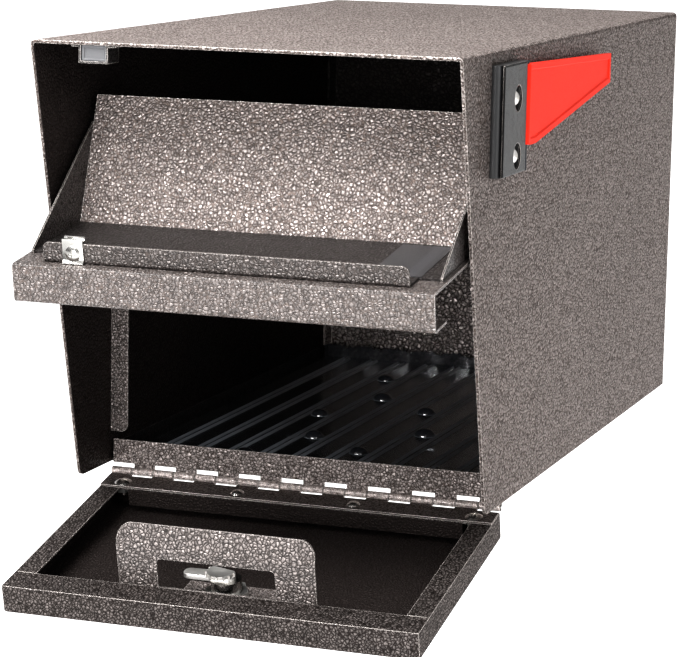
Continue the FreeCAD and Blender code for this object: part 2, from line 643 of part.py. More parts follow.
def tongue_strip(path, thick, wide):
    """The tongue's folded strip: its thickness lies towards the free end of the door."""
    foot_start, heel, knee, tip = path
    bend = math.radians(size("tongue_bend"))
    foot = slab((-wide / 2, foot_start[0] - thick, heel[1]),
                (wide / 2, foot_start[0], foot_start[1]))
    leg = prism([(heel[0] - thick, heel[1]), knee, tip,
                 (tip[0] + thick * math.sin(bend), tip[1] + thick * math.cos(bend)),
                 (knee[0], knee[1] + thick), (heel[0] - thick, heel[1] + thick)],
                "x", -wide / 2, wide)
    return foot.fuse(leg)


def cam_lock():
    """Cam lock: fixed barrel, nut and hat bracket, and the turning plug, cam and screw."""
    face = -size("hinge_setback") - size("leaf_sheet")
    skin = face - size("door_thickness")
    z, along = lock_reach, Vec(0, 1, 0)
    inner = skin + size("door_sheet")
    hat_top = inner + size("hat_height")
    end = size("cam_gap")
    radius, bore = size("barrel_radius"), size("plug_radius") + size("fit_clearance")
    rim = size("barrel_rim")
    barrel = Part.makeCylinder(radius - 2 * size("fit_clearance"), end - skin, Vec(0, skin, z), along)
    rim_disc = Part.makeCylinder(size("barrel_flange"), rim, Vec(0, skin - rim, z), along)
    rim_disc = rounded(rim_disc, rim / 2, lambda middle, way: abs(middle.y - skin + rim) < 0.01)
    barrel = barrel.fuse(rim_disc)
    hollow = Part.makeCylinder(bore, end - skin + rim, Vec(0, skin - rim, z), along)
    feature("lock_barrel", barrel.cut(hollow), door_place)
    feature("lock_bracket", hat_bracket(inner, hat_top, z), door_place)
    nut = prism(hexagon(0, z, size("lock_nut_corner")), "y", hat_top, size("lock_nut_height"))
    nut = nut.cut(Part.makeCylinder(radius, size("lock_nut_height"), Vec(0, hat_top, z), along))
    feature("lock_nut", nut, door_place)
    plug = Part.makeCylinder(size("plug_radius"), end - skin + rim, Vec(0, skin - rim, z), along)
    key_x, key_z = size("key_slot") / 2, size("plug_radius") * 2 / 3
    plug = plug.cut(slab((-key_x, skin - rim, z - key_z), (key_x, inner + key_z, z + key_z)))
    square = size("cam_eye") / 2
    neck = slab((-square, end, z - square), (square, end + size("cam_sheet"), z + square))
    feature("lock_plug", plug.fuse(neck), door_place)
    feature("lock_cam", cam_plate(end, z), door_place)
    screw_y, tall = end + size("cam_sheet"), size("screw_head")
    span = size("cam_screw_radius")
    head = domed(span, tall, 0, screw_y, z)
    cross = cross_recess(0, screw_y + tall, z, span, tall * 2 / 3)
    feature("cam_screw", head.cut(cross), door_place)


def hat_bracket(inner, hat_top, z):
    """Hat-shaped bracket behind the skin that the lock nut clamps."""
    half_long, half_wide, thin = size("hat_length") / 2, size("hat_width") / 2, size("pan_sheet")
    hat = slab((-half_long, inner, z - half_wide), (half_long, hat_top, z + half_wide))
    hat = hat.cut(slab((-half_long + thin, inner, z - half_wide),
                       (half_long - thin, hat_top - thin, z + half_wide)))
    for sign in (-1, 1):
        low, high = sorted((sign * (half_long - thin), sign * (half_long + size("hat_brim"))))
        hat = hat.fuse(slab((low, inner, z - half_wide), (high, inner + thin, z + half_wide)))
    hole = Part.makeCylinder(size("barrel_radius"), size("hat_height"), Vec(0, inner, z), Vec(0, 1, 0))
    return hat.cut(hole)


def cam_plate(y, z):
    """Flat cam with a square eye and a stepped, hooked tip, pointing left when unlocked."""
    long, half, step = size("cam_length"), size("cam_width") / 2, size("cam_step")
    slot, hook = size("cam_slot"), size("cam_hook")
    outline = [(half, z - half), (half, z + half), (-long * 0.55, z + half),
               (-long * 0.7, z + half - step), (-long, z + half - step), (-long, z + slot / 2),
               (-long + hook, z + slot / 2), (-long + hook, z - slot / 2),
               (-long + slot / 2, z - slot / 2), (-long + slot / 2, z - half + 1),
               (-long * 0.6, z - half)]
    plate = prism(outline, "y", y, size("cam_sheet"))
    plate = rounded(plate, half * 0.9,
                    lambda middle, way: abs(way.y) > 0.9 and abs(middle.x - half) < 0.1)
    square = size("cam_eye") / 2 + size("cam_eye_gap")
    return plate.cut(slab((-square, y, z - square), (square, y + size("cam_sheet"), z + square)))


feature("door_pan", door_pan(), door_place)
leaf = hinge_leaf(0, door_half).mirror(Vec(0, 0, 0), Vec(0, 1, 0))
feature("door_hinge_leaf", leaf.cut(Part.Compound(hinge_drills())), door_place)
hinge_fasteners()
feature("lock_tongue", lock_tongue(), door_place)
cam_lock()


# ================================================================ hopper (own frame: pivot at 0)
# in this frame the plate reaches towards -Y and its normal is +Z
def hopper_plate():
    """Outer plate of the hopper, folded at the front into an open pull handle."""
    top, thick = size("plate_rise"), size("plate_sheet")
    reach = -size("plate_reach")
    drop = top - size("handle_height")
    path = [(-size("plate_heel"), top), (reach, top), (reach, drop),
            (reach + size("handle_return"), drop)]
    mirrored = [(-y, z) for y, z in path]
    shape = folded(mirrored, thick, size("handle_bend") - thick, 2 * door_half,
                   -door_half)
    return shape.mirror(Vec(0, 0, 0), Vec(0, 1, 0))


def baffle_end():
    angle = math.radians(size("baffle_angle"))
    foot_y, floor = -size("baffle_foot"), size("plate_rise") + size("plate_sheet")
    length = size("baffle_length")
    return (foot_y - length * math.cos(angle), floor + length * math.sin(angle))


def hopper_tray():
    """Inner tray: front lip, floor lying on the plate, and the baffle behind."""
    thick = size("plate_sheet")
    floor = size("plate_rise") + thick
    half = tray_half
    front = -size("lip_reach")
    path = [(front + thick, size("plate_rise") + size("lip_height")), (front + thick, floor),
            (-size("baffle_foot"), floor), baffle_end()]
    shape = folded(path, thick, 0.8, 2 * half, -half)
    tray_front = -size("tray_front")
    for sign in (-1, 1):
        low, high = sorted((sign * lip_half, sign * (half + 1)))
        shape = shape.cut(slab((low, front - 5, -5), (high, tray_front, 40)))
    top = size("plate_rise") + size("lip_height")
    ends = rounded(slab((-lip_half, front - 1, -5), (lip_half, front + 3, top)), size("lip_corner"),
                   lambda middle, way: abs(way.y) > 0.9 and abs(middle.z - top) < 0.1)
    rest = slab((-half - 1, front + 3, -5), (half + 1, 60, 100))
    return shape.common(ends.fuse(rest))


def wing(label, sign):
    """Triangular cheek of the hopper with the ear that turns on the stud."""
    angle = math.radians(size("baffle_angle"))
    slope = math.cos(angle) / math.sin(angle)
    floor = size("plate_rise") + size("plate_sheet")
    base = size("plate_rise")

    def on_baffle(rise):
        return (-size("baffle_foot") - (rise - floor) * slope, rise)

    ear = size("ear_radius")
    outline = [(-size("tray_front") - 1, base), (-size("tray_front") - 1, base + size("wing_front")),
               on_baffle(size("wing_top")), on_baffle(size("wing_top") / 3), (ear - 0.5, 1.5),
               (-size("plate_heel") + 0.5, 0), (-size("plate_heel") + 0.5, base)]
    x = tray_half + 0.1
    thick = size("wing_sheet")
    disc = Part.makeCylinder(ear, thick, Vec(x, 0, 0), Vec(1, 0, 0))
    cheek = prism(outline, "x", x, thick).fuse(disc)
    eye = Part.makeCylinder(size("bush_radius"), thick, Vec(x, 0, 0), Vec(1, 0, 0))
    cheek = cheek.cut(eye)
    if sign < 0:
        cheek = cheek.mirror(Vec(0, 0, 0), Vec(1, 0, 0))
    return feature(label, cheek, hopper_place)


def hopper_bushes():
    """Flanged bushes in both ears."""
    x = tray_half + 0.1
    thick = size("wing_sheet")
    collar_thick, along = size("bush_collar"), Vec(1, 0, 0)
    whole = thick + 2 * collar_thick
    start = Vec(x - collar_thick, 0, 0)
    sleeve = Part.makeCylinder(size("bush_radius"), whole, start, along)
    collar = Part.makeCylinder(size("bush_flange"), collar_thick, Vec(x + thick, 0, 0), along)
    bore = Part.makeCylinder(size("stud_radius") + size("fit_clearance"), whole, start, along)
    right = sleeve.fuse(collar).cut(bore)
    left = right.mirror(Vec(0, 0, 0), Vec(1, 0, 0))
    return Part.Compound([left, right])


def mail_clip():
    """Spring clip screwed to the lip, rolled over its top edge."""
    front, thick = -size("lip_reach"), size("clip_sheet")
    base, top = size("plate_rise"), size("plate_rise") + size("lip_height")
    wide, x = size("clip_width"), clip_x
    rise = top + size("clip_rise")
    path = [(front, base + 0.5), (front, rise)]
    return clip_strip(path, thick, wide, x)


def clip_strip(path, thick, wide, x):
    """The clip's blade and its roll, on the front face of the lip."""
    foot, top = path[0], path[1]
    roll = size("clip_roll")
    blade = slab((x - wide / 2, foot[0] - thick, foot[1]), (x + wide / 2, foot[0], top[1] - roll))
    centre = Vec(x - wide / 2, foot[0] - thick + roll, top[1] - roll)
    tube = Part.makeCylinder(roll, wide, centre, Vec(1, 0, 0))
    tube = tube.cut(Part.makeCylinder(roll - thick, wide, centre, Vec(1, 0, 0)))
    tube = tube.cut(slab((x - wide, foot[0] - thick - 1, centre.z - roll - 1),
                         (x + wide, foot[0] - thick + 2 * roll + 1, centre.z)))
    return blade.fuse(tube)


feature("hopper_plate", hopper_plate(), hopper_place)
feature("hopper_tray", hopper_tray(), hopper_place)
wing("left_wing", -1)
wing("right_wing", 1)
feature("hopper_bushes", hopper_bushes(), hopper_place)
feature("mail_clip", mail_clip(), hopper_place)
screw_face = -size("lip_reach") - size("clip_sheet")
screw_z = size("plate_rise") + size("lip_height") / 2
screw_tall = size("head_height")
screw = domed(size("clip_screw_radius"), screw_tall, clip_x, 0, 0)
screw = screw.cut(cross_recess(clip_x, screw_tall, 0, size("clip_screw_radius"), screw_tall * 2 / 3))
screw = screw.mirror(Vec(0, 0, 0), Vec(0, 1, 0))
screw.translate(Vec(0, screw_face, screw_z))
feature("clip_screw", screw, hopper_place)
label_z = size("plate_rise") + size("plate_sheet")
label_front = -size("tray_front") + 1
label_x = door_half - size("label_inset")
blank = slab((label_x - size("label_width") / 2, label_front, label_z),
             (label_x + size("label_width") / 2, label_front + size("label_length"),
              label_z + size("label_sheet")))
feature("blank_label", blank, hopper_place)


# ================================================================ flag and holder, on the right side
wall_x = size("body_width") / 2
axis_x = wall_x + size("flag_axis_depth")
axis_y = hood_y + size("holder_back") + size("flag_axis_gap")
flag_high = size("body_height") - size("flag_below_top")


def flag_holder():
    """Black body of the holder, its bright cover and its two screws."""
    front, back = hood_y + size("holder_front"), hood_y + size("holder_back")
    high = size("body_height") - size("holder_below_top")
    low = high - size("holder_height")
    depth, cover = size("holder_depth"), size("cover_sheet")
    face = wall_x + depth
    lug_back = axis_y + size("flag_barrel_radius")
    lug_low = flag_high - size("flag_height") - 2
    base = slab((wall_x, front, low), (face, back, high))
    base = rounded(base, size("holder_nose"), lambda middle, way: abs(way.z) > 0.9
                   and abs(middle.y - front) < 0.1 and middle.x > wall_x + 1)
    lugs = [slab((wall_x, back - 1, low), (face, lug_back, lug_low)),
            slab((wall_x, back - 1, high - size("top_lug")), (face, lug_back, high))]
    pin_hole = Part.makeCylinder(size("flag_pin_radius"), high - low, Vec(axis_x, axis_y, low))
    centre = back - size("screw_from_back")
    spots = [low + size("low_screw_inset"), high - size("high_screw_inset")]
    well, rim = size("screw_recess"), size("recess_depth")
    recesses, screws = [], []
    for z in spots:
        recesses.append(Part.makeCylinder(well, rim + cover, Vec(face - rim, centre, z), Vec(1, 0, 0)))
        head = domed(size("holder_screw_radius"), size("screw_head"), 0, 0, 0)
        head.rotate(Vec(0, 0, 0), Vec(0, 0, 1), -90)
        head.translate(Vec(face - rim, centre, z))
        screws.append(head)
    body = base.multiFuse(lugs).cut(Part.Compound(recesses + [pin_hole]))
    feature("flag_holder", body)
    plate = slab((face, front, low), (face + cover, back, high))
    plate = rounded(plate, cover * 0.9, lambda middle, way: middle.x > face + cover - 0.01)
    feature("holder_cover", plate.cut(Part.Compound(recesses)))
    feature("holder_screws", Part.Compound(screws))
    pin = Part.makeCylinder(size("flag_pin_radius"), high - low, Vec(axis_x, axis_y, low))
    feature("flag_pin", pin)


def flag():
    """Flag: a thin panel in a raised border, on a barrel round the pin."""
    high = flag_high
    low = high - size("flag_height")
    length = size("flag_length")
    thick, panel = size("flag_sheet"), size("flag_panel")
    tip_low = low + size("flag_tip_rise")
    start = axis_y + size("flag_barrel_radius") - 1
    end = axis_y + length
    outline = [(start, low), (axis_y + size("flag_heel"), low - 1), (end, tip_low),
               (end, high - size("flag_tip_drop")), (start, high)]
    border = prism(outline, "x", axis_x - thick / 2, thick)
    inset = size("flag_border")
    pocket = [(start + inset, low + inset), (axis_y + size("flag_heel"), low - 1 + inset),
              (end - inset, tip_low + inset * 0.9), (end - inset, high - size("flag_tip_drop") - inset),
              (start + inset, high - inset)]
    dish = prism(pocket, "x", axis_x + panel - thick / 2, thick)
    barrel = Part.makeCylinder(size("flag_barrel_radius"), high - low, Vec(axis_x, axis_y, low))
    bore = Part.makeCylinder(size("flag_pin_radius") + size("fit_clearance"), high - low,
                             Vec(axis_x, axis_y, low))
    return border.cut(dish).fuse(barrel).cut(bore)


flag_holder()
feature("flag", flag())

# ---------------------------------------------------------------- checks and export
doc.recompute()
for item in doc.Objects:
    if "Invalid" in item.State or "Error" in item.State:
        raise RuntimeError(f"{item.Label} failed: {item.State}")
for item in nodes:
    if item.Shape.isNull() or not item.Shape.isValid():
        raise RuntimeError(f"{item.Label} has no valid shape")

os.makedirs("parts", exist_ok=True)
for item in nodes:
    item.Shape.exportStep(f"parts/{item.Label}.step")
    print(f"{item.Label}: {len(item.Shape.Solids)} solid(s), {item.Shape.Volume / 1000:.1f} cm3")
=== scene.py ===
# %% [markdown]
# # A locking curbside drop box, dressed in Blender
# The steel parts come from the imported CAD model, which is loaded as a fixed frame. This
# file gives every part its finish and remodels, piece by piece, what needs a softer or
# richer shape than plain CAD solids have. All lengths are in metres.

# %% Load the frame
import json
import math

import bpy
from mathutils import Matrix, Vector


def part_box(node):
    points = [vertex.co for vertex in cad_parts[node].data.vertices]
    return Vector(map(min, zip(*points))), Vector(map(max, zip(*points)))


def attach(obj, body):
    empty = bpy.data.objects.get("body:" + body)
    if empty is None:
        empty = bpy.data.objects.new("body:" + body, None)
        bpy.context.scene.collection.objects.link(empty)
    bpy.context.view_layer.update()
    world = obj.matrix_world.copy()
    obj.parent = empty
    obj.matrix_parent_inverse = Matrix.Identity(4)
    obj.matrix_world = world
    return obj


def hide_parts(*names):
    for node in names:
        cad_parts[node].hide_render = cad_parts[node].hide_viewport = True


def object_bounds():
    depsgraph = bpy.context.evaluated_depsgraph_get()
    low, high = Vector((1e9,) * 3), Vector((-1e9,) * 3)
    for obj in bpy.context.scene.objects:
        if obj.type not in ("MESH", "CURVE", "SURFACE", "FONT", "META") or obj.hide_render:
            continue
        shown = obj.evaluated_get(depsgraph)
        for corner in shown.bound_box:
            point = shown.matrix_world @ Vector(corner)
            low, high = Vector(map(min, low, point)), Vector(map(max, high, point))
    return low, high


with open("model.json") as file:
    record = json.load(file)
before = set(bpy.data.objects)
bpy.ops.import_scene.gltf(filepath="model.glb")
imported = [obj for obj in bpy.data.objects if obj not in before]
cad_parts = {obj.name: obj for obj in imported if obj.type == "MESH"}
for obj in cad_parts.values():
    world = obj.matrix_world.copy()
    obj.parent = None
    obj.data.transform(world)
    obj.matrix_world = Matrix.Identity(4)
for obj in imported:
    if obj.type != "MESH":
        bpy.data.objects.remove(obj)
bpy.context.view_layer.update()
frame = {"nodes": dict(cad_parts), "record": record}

NODES = frame["nodes"]
MM = 0.001
print("loaded", len(NODES), "nodes")

# %% [markdown]
# ## Helpers for shader trees
# Small functions that add a node, link it and set its values, so that each finish below
# reads as a short recipe.

# %% Shader helpers
def new_group(name, inputs, outputs):
    group = bpy.data.node_groups.new(name, "ShaderNodeTree")
    for label, kind, value in inputs:
        socket = group.interface.new_socket(label, in_out="INPUT", socket_type=kind)
        socket.default_value = value
    for label, kind in outputs:
        group.interface.new_socket(label, in_out="OUTPUT", socket_type=kind)
    entry = group.nodes.new("NodeGroupInput")
    leave = group.nodes.new("NodeGroupOutput")
    return group, entry.outputs, leave.inputs


def add(tree, kind, **settings):
    node = tree.nodes.new(kind)
    for label, value in settings.items():
        setattr(node, label, value)
    return node


def feed(tree, socket, value):
    """Sets a socket to a number or colour, or links it to an output."""
    if isinstance(value, bpy.types.NodeSocket):
        tree.links.new(value, socket)
    else:
        socket.default_value = value


def calc(tree, operation, first, second=0.0, third=0.0, clamp=False):
    node = add(tree, "ShaderNodeMath", operation=operation, use_clamp=clamp)
    for socket, value in zip(node.inputs, (first, second, third)):
        feed(tree, socket, value)
    return node.outputs[0]


def blend_colors(tree, factor, first, second, mode="MIX"):
    node = add(tree, "ShaderNodeMix", data_type="RGBA", blend_type=mode)
    colours = [socket for socket in node.inputs if socket.type == "RGBA"]
    feed(tree, node.inputs["Factor"], factor)
    feed(tree, colours[0], first)
    feed(tree, colours[1], second)
    return [socket for socket in node.outputs if socket.type == "RGBA"][0]


def noise(tree, scale, detail=2.0, vector=None):
    node = add(tree, "ShaderNodeTexNoise")
    node.inputs["Scale"].default_value = scale
    node.inputs["Detail"].default_value = detail
    if vector is None:
        vector = add(tree, "ShaderNodeTexCoord").outputs["Object"]
    tree.links.new(vector, node.inputs["Vector"])
    return node.outputs[0]


def spread(tree, value, low, high, out_low=0.0, out_high=1.0):
    """A smooth step from low to high."""
    node = add(tree, "ShaderNodeMapRange", interpolation_type="SMOOTHSTEP")
    for label, number in (("From Min", low), ("From Max", high),
                          ("To Min", out_low), ("To Max", out_high)):
        feed(tree, node.inputs[label], number)
    tree.links.new(value, node.inputs["Value"])
    return node.outputs["Result"]


print("shader helpers ready")

# %% [markdown]
# The camera stands to the right of the box and a little above it, far enough away for a
# long lens, so that upright edges stay nearly parallel. It is aimed by an azimuth and an
# elevation, with a small roll about its own axis.

# %% Camera
CAMERA_PLACE = Vector((0.6088, -1.8566, 0.3998))
CAMERA_AZIMUTH = 0.342
CAMERA_ELEVATION = 0.170
CAMERA_ROLL = 0.018
LENS_MM = 148.4


def aim_camera():
    """A camera that looks along the azimuth and elevation, rolled a little."""
    a, e, r = CAMERA_AZIMUTH, CAMERA_ELEVATION, CAMERA_ROLL
    forward = Vector((-math.sin(a) * math.cos(e), math.cos(a) * math.cos(e), -math.sin(e)))
    right = forward.cross(Vector((0, 0, 1))).normalized()
    up = right.cross(forward)
    right_rolled = right * math.cos(r) + up * math.sin(r)
    up_rolled = up * math.cos(r) - right * math.sin(r)
    turn = Matrix((right_rolled, up_rolled, -forward)).transposed().to_4x4()
    data = bpy.data.cameras.new("camera")
    data.lens = LENS_MM
    data.sensor_width = 36.0
    data.clip_end = 50.0
    camera = bpy.data.objects.new("camera", data)
    bpy.context.scene.collection.objects.link(camera)
    camera.matrix_world = Matrix.Translation(CAMERA_PLACE) @ turn
    bpy.context.scene.camera = camera
    return camera


print("camera at", [round(part, 3) for part in aim_camera().location])

# %% [markdown]
# A white studio: a pale floor well below the box, because the box is carried on a post,
# a sky that is brighter overhead, and soft lamps that put broad reflections on the paint.

# %% Studio
FLOOR_DROP = 0.30
FLOOR_SIZE = 40.0
FLOOR_GLOW = 0.62
SKY_AT_HORIZON = 0.15
SKY_OVERHEAD = 0.95
LAMP_TARGET = (0, -0.15, 0.14)


def soft_lamp(name, place, size, power):
    data = bpy.data.lights.new(name, "AREA")
    data.shape = "RECTANGLE"
    data.size, data.size_y = size
    data.energy = power
    lamp = bpy.data.objects.new(name, data)
    bpy.context.scene.collection.objects.link(lamp)
    lamp.location = place
    lamp.rotation_euler = (
        Vector(LAMP_TARGET) - Vector(place)).to_track_quat("-Z", "Y").to_euler()


def pale_floor():
    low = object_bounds()[0]
    bpy.ops.object.select_all(action="DESELECT")
    bpy.ops.mesh.primitive_plane_add(size=FLOOR_SIZE,
                                     location=(0, 0, low[2] - FLOOR_DROP))
    floor = bpy.context.object
    floor.name = "studio_floor"
    paint = bpy.data.materials.new("studio_white")
    paint.use_nodes = True
    shader = paint.node_tree.nodes["Principled BSDF"]
    shader.inputs["Base Color"].default_value = (0.92, 0.92, 0.92, 1)
    shader.inputs["Roughness"].default_value = 0.9
    shader.inputs["Emission Color"].default_value = (1, 1, 1, 1)
    shader.inputs["Emission Strength"].default_value = FLOOR_GLOW
    floor.data.materials.append(paint)


def white_sky(horizon, overhead):
    """A sky that lights like a studio ceiling, and is seen as a plain white backdrop."""
    world = bpy.data.worlds.new("studio_sky")
    bpy.context.scene.world = world
    world.use_nodes = True
    tree = world.node_tree
    direction = tree.nodes.new("ShaderNodeTexCoord")
    split = tree.nodes.new("ShaderNodeSeparateXYZ")
    fall = tree.nodes.new("ShaderNodeMapRange")
    fall.inputs["From Min"].default_value = 0.05
    fall.inputs["From Max"].default_value = 0.75
    fall.inputs["To Min"].default_value = horizon
    fall.inputs["To Max"].default_value = overhead
    tree.links.new(direction.outputs["Generated"], split.inputs[0])
    tree.links.new(split.outputs["Z"], fall.inputs["Value"])
    seen = tree.nodes.new("ShaderNodeLightPath").outputs["Is Camera Ray"]
    shown = calc(tree, "MAXIMUM", seen, fall.outputs["Result"])
    tree.links.new(shown, tree.nodes["Background"].inputs["Strength"])
    tree.nodes["Background"].inputs["Color"].default_value = (1, 1, 1, 1)


pale_floor()
white_sky(SKY_AT_HORIZON, SKY_OVERHEAD)
soft_lamp("key_above_front", (-0.35, -0.85, 1.05), (0.8, 0.6), 26)
soft_lamp("fill_right", (1.25, -1.25, 0.55), (0.5, 1.0), 6)
soft_lamp("front_low", (-0.25, -1.8, 0.20), (0.9, 0.4), 15)
bpy.context.scene.view_settings.view_transform = "Standard"
bpy.context.scene.view_settings.look = "Medium High Contrast"
print("floor, sky and 3 lamps")

# %% [markdown]
# ## Hammered powder coat
# The steel is coated with a metallic bronze powder that pulls into small pebbles while it
# cures. Each pebble has a smooth rounded top, and thin grooves wander between them, coloured
# dark as painted shade in the low places.
# A Voronoi pattern that measures the distance to the cell edges gives the grooves, a noise
# lets some of them fade out, and the same values drive the colour, the gloss and the
# relief, so that they stay in step.

# %% Hammered coat group
WOBBLE = 1.6 * MM
WOBBLE_SCALE = 300.0
FADE_SCALE = 210.0
FINE_SCALE = 1100.0
BLOTCH_SCALE = 430.0
PATCH_SCALE = 7.0
EDGE_SOFTNESS = 0.7 * MM


def hammered_group():
    group, entry, leave = new_group(
        "hammered_coat",
        [("Groove Shade Color", "NodeSocketColor", (0.03, 0.025, 0.02, 1)),
         ("Pebble Color", "NodeSocketColor", (0.4, 0.38, 0.36, 1)),
         ("Edge Highlight Color", "NodeSocketColor", (0.8, 0.77, 0.74, 1)),
         ("Cells Per Metre", "NodeSocketFloat", 430.0),
         ("Groove Width", "NodeSocketFloat", 0.16),
         ("Groove Fade", "NodeSocketFloat", 0.5),
         ("Edge Light", "NodeSocketFloat", 0.6),
         ("Base Roughness", "NodeSocketFloat", 0.3)],
        [("Color", "NodeSocketColor"), ("Roughness", "NodeSocketFloat"),
         ("Height", "NodeSocketFloat"), ("Rounded Normal", "NodeSocketVector")])
    link = group.links.new
    place = add(group, "ShaderNodeTexCoord").outputs["Object"]
    wobble = add(group, "ShaderNodeTexNoise")
    wobble.inputs["Scale"].default_value = WOBBLE_SCALE
    link(place, wobble.inputs["Vector"])
    shift = add(group, "ShaderNodeVectorMath", operation="MULTIPLY_ADD")
    link(wobble.outputs["Color"], shift.inputs[0])
    shift.inputs[1].default_value = (WOBBLE, WOBBLE, WOBBLE)
    link(place, shift.inputs[2])
    cells = add(group, "ShaderNodeTexVoronoi", feature="DISTANCE_TO_EDGE")
    link(shift.outputs[0], cells.inputs["Vector"])
    link(entry["Cells Per Metre"], cells.inputs["Scale"])
    fading = noise(group, FADE_SCALE, 1.0, place)
    kept = calc(group, "SUBTRACT", 1.0, calc(group, "MULTIPLY", entry["Groove Fade"],
                                             spread(group, fading, 0.60, 0.40)))
    width = calc(group, "MULTIPLY", entry["Groove Width"], kept)
    body = spread(group, cells.outputs["Distance"], 0.0, calc(group, "ADD", width, 0.02))
    crown = spread(group, cells.outputs["Distance"], 0.0, 0.42)
    fine = noise(group, FINE_SCALE, 2.0, place)
    broad = noise(group, PATCH_SCALE, 3.0, place)
    # The grooves take the darker groove colour: painted shade between the pebbles.
    base = blend_colors(group, body, entry["Groove Shade Color"], entry["Pebble Color"])
    blotch = spread(group, noise(group, BLOTCH_SCALE, 1.0, place), 0.32, 0.68, 0.66, 1.34)
    mottle = calc(group, "MULTIPLY", blotch, calc(group, "MULTIPLY_ADD", fine, 0.4, 0.8))
    patch = calc(group, "MULTIPLY_ADD", broad, 0.24, 0.88)
    shade = calc(group, "MULTIPLY", mottle, patch)
    tinted = blend_colors(group, 1.0, base, shade, "MULTIPLY")
    # Near edges the colour blends to the edge colour: a painted highlight along rims and folds.
    soft = add(group, "ShaderNodeBevel", samples=4)
    soft.inputs["Radius"].default_value = EDGE_SOFTNESS
    facing = add(group, "ShaderNodeVectorMath", operation="DOT_PRODUCT")
    link(soft.outputs["Normal"], facing.inputs[0])
    link(add(group, "ShaderNodeNewGeometry").outputs["Normal"], facing.inputs[1])
    rim = spread(group, facing.outputs["Value"], 0.99, 0.85)
    edge = calc(group, "MULTIPLY", rim, entry["Edge Light"])
    link(blend_colors(group, edge, tinted, entry["Edge Highlight Color"]), leave["Color"])
    rough = calc(group, "MULTIPLY_ADD", fine, 0.15, entry["Base Roughness"])
    link(calc(group, "MULTIPLY_ADD", calc(group, "SUBTRACT", 1.0, body), 0.3, rough),
         leave["Roughness"])
    relief = calc(group, "MULTIPLY_ADD", crown, 0.6, calc(group, "MULTIPLY", body, 0.4))
    link(calc(group, "MULTIPLY_ADD", fine, 0.12, relief), leave["Height"])
    link(soft.outputs["Normal"], leave["Rounded Normal"])
    return group


def inside_group():
    """A mask that is 1 inside a box, which may be turned about the X axis at a pivot."""
    group, entry, leave = new_group(
        "inside_of_box",
        [("Pivot", "NodeSocketVector", (0, 0, 0)), ("Turn", "NodeSocketFloat", 0.0),
         ("Low Corner", "NodeSocketVector", (-1, -1, -1)),
         ("High Corner", "NodeSocketVector", (1, 1, 1))],
        [("Mask", "NodeSocketFloat")])
    link = group.links.new
    place = add(group, "ShaderNodeTexCoord").outputs["Object"]
    local = add(group, "ShaderNodeVectorRotate", rotation_type="X_AXIS")
    link(place, local.inputs["Vector"])
    link(entry["Pivot"], local.inputs["Center"])
    link(entry["Turn"], local.inputs["Angle"])
    away = add(group, "ShaderNodeVectorMath", operation="SUBTRACT")
    link(local.outputs[0], away.inputs[0])
    link(entry["Pivot"], away.inputs[1])
    parts = []
    for source in (away.outputs[0], entry["Low Corner"], entry["High Corner"]):
        split = add(group, "ShaderNodeSeparateXYZ")
        link(source, split.inputs[0])
        parts.append(split.outputs)
    mask = 1.0
    for axis in range(3):
        above = calc(group, "GREATER_THAN", parts[0][axis], parts[1][axis])
        below = calc(group, "LESS_THAN", parts[0][axis], parts[2][axis])
        mask = calc(group, "MULTIPLY", mask, calc(group, "MULTIPLY", above, below))
    link(mask, leave["Mask"])
    return group


HAMMERED = hammered_group()
INSIDE = inside_group()
print("groups", HAMMERED.name, "and", INSIDE.name)


def new_material(name):
    material = bpy.data.materials.new(name)
    material.use_nodes = True
    return material, material.node_tree, material.node_tree.nodes["Principled BSDF"].inputs


# %% [markdown]
# Two masks paint light and shade onto the coat: faces inside one given box blend to a
# nearly black colour, as painted shade deep in the housing, and faces inside another are
# made paler, as painted light. Elsewhere the full hammered coat shows.

# %% Painted steel
PEBBLE = (0.235, 0.206, 0.196)
GROOVE_SHADE_TINT = (1.0, 0.88, 0.80)
PEBBLE_RISE = 0.9 * MM
PAINTED_LIGHT_GAIN = 2.2
PAINTED_INSIDE_SHADE = (0.020, 0.016, 0.015, 1)
# The colour that edges blend to is a painted highlight.
EDGE = (0.78, 0.72, 0.68, 1)


def box_mask(tree, box):
    """The mask of a box given as (low, high, pivot, turn)."""
    mask = add(tree, "ShaderNodeGroup", node_tree=INSIDE)
    for label, value in zip(("Low Corner", "High Corner", "Pivot", "Turn"), box):
        feed(tree, mask.inputs[label], value)
    return mask.outputs[0]


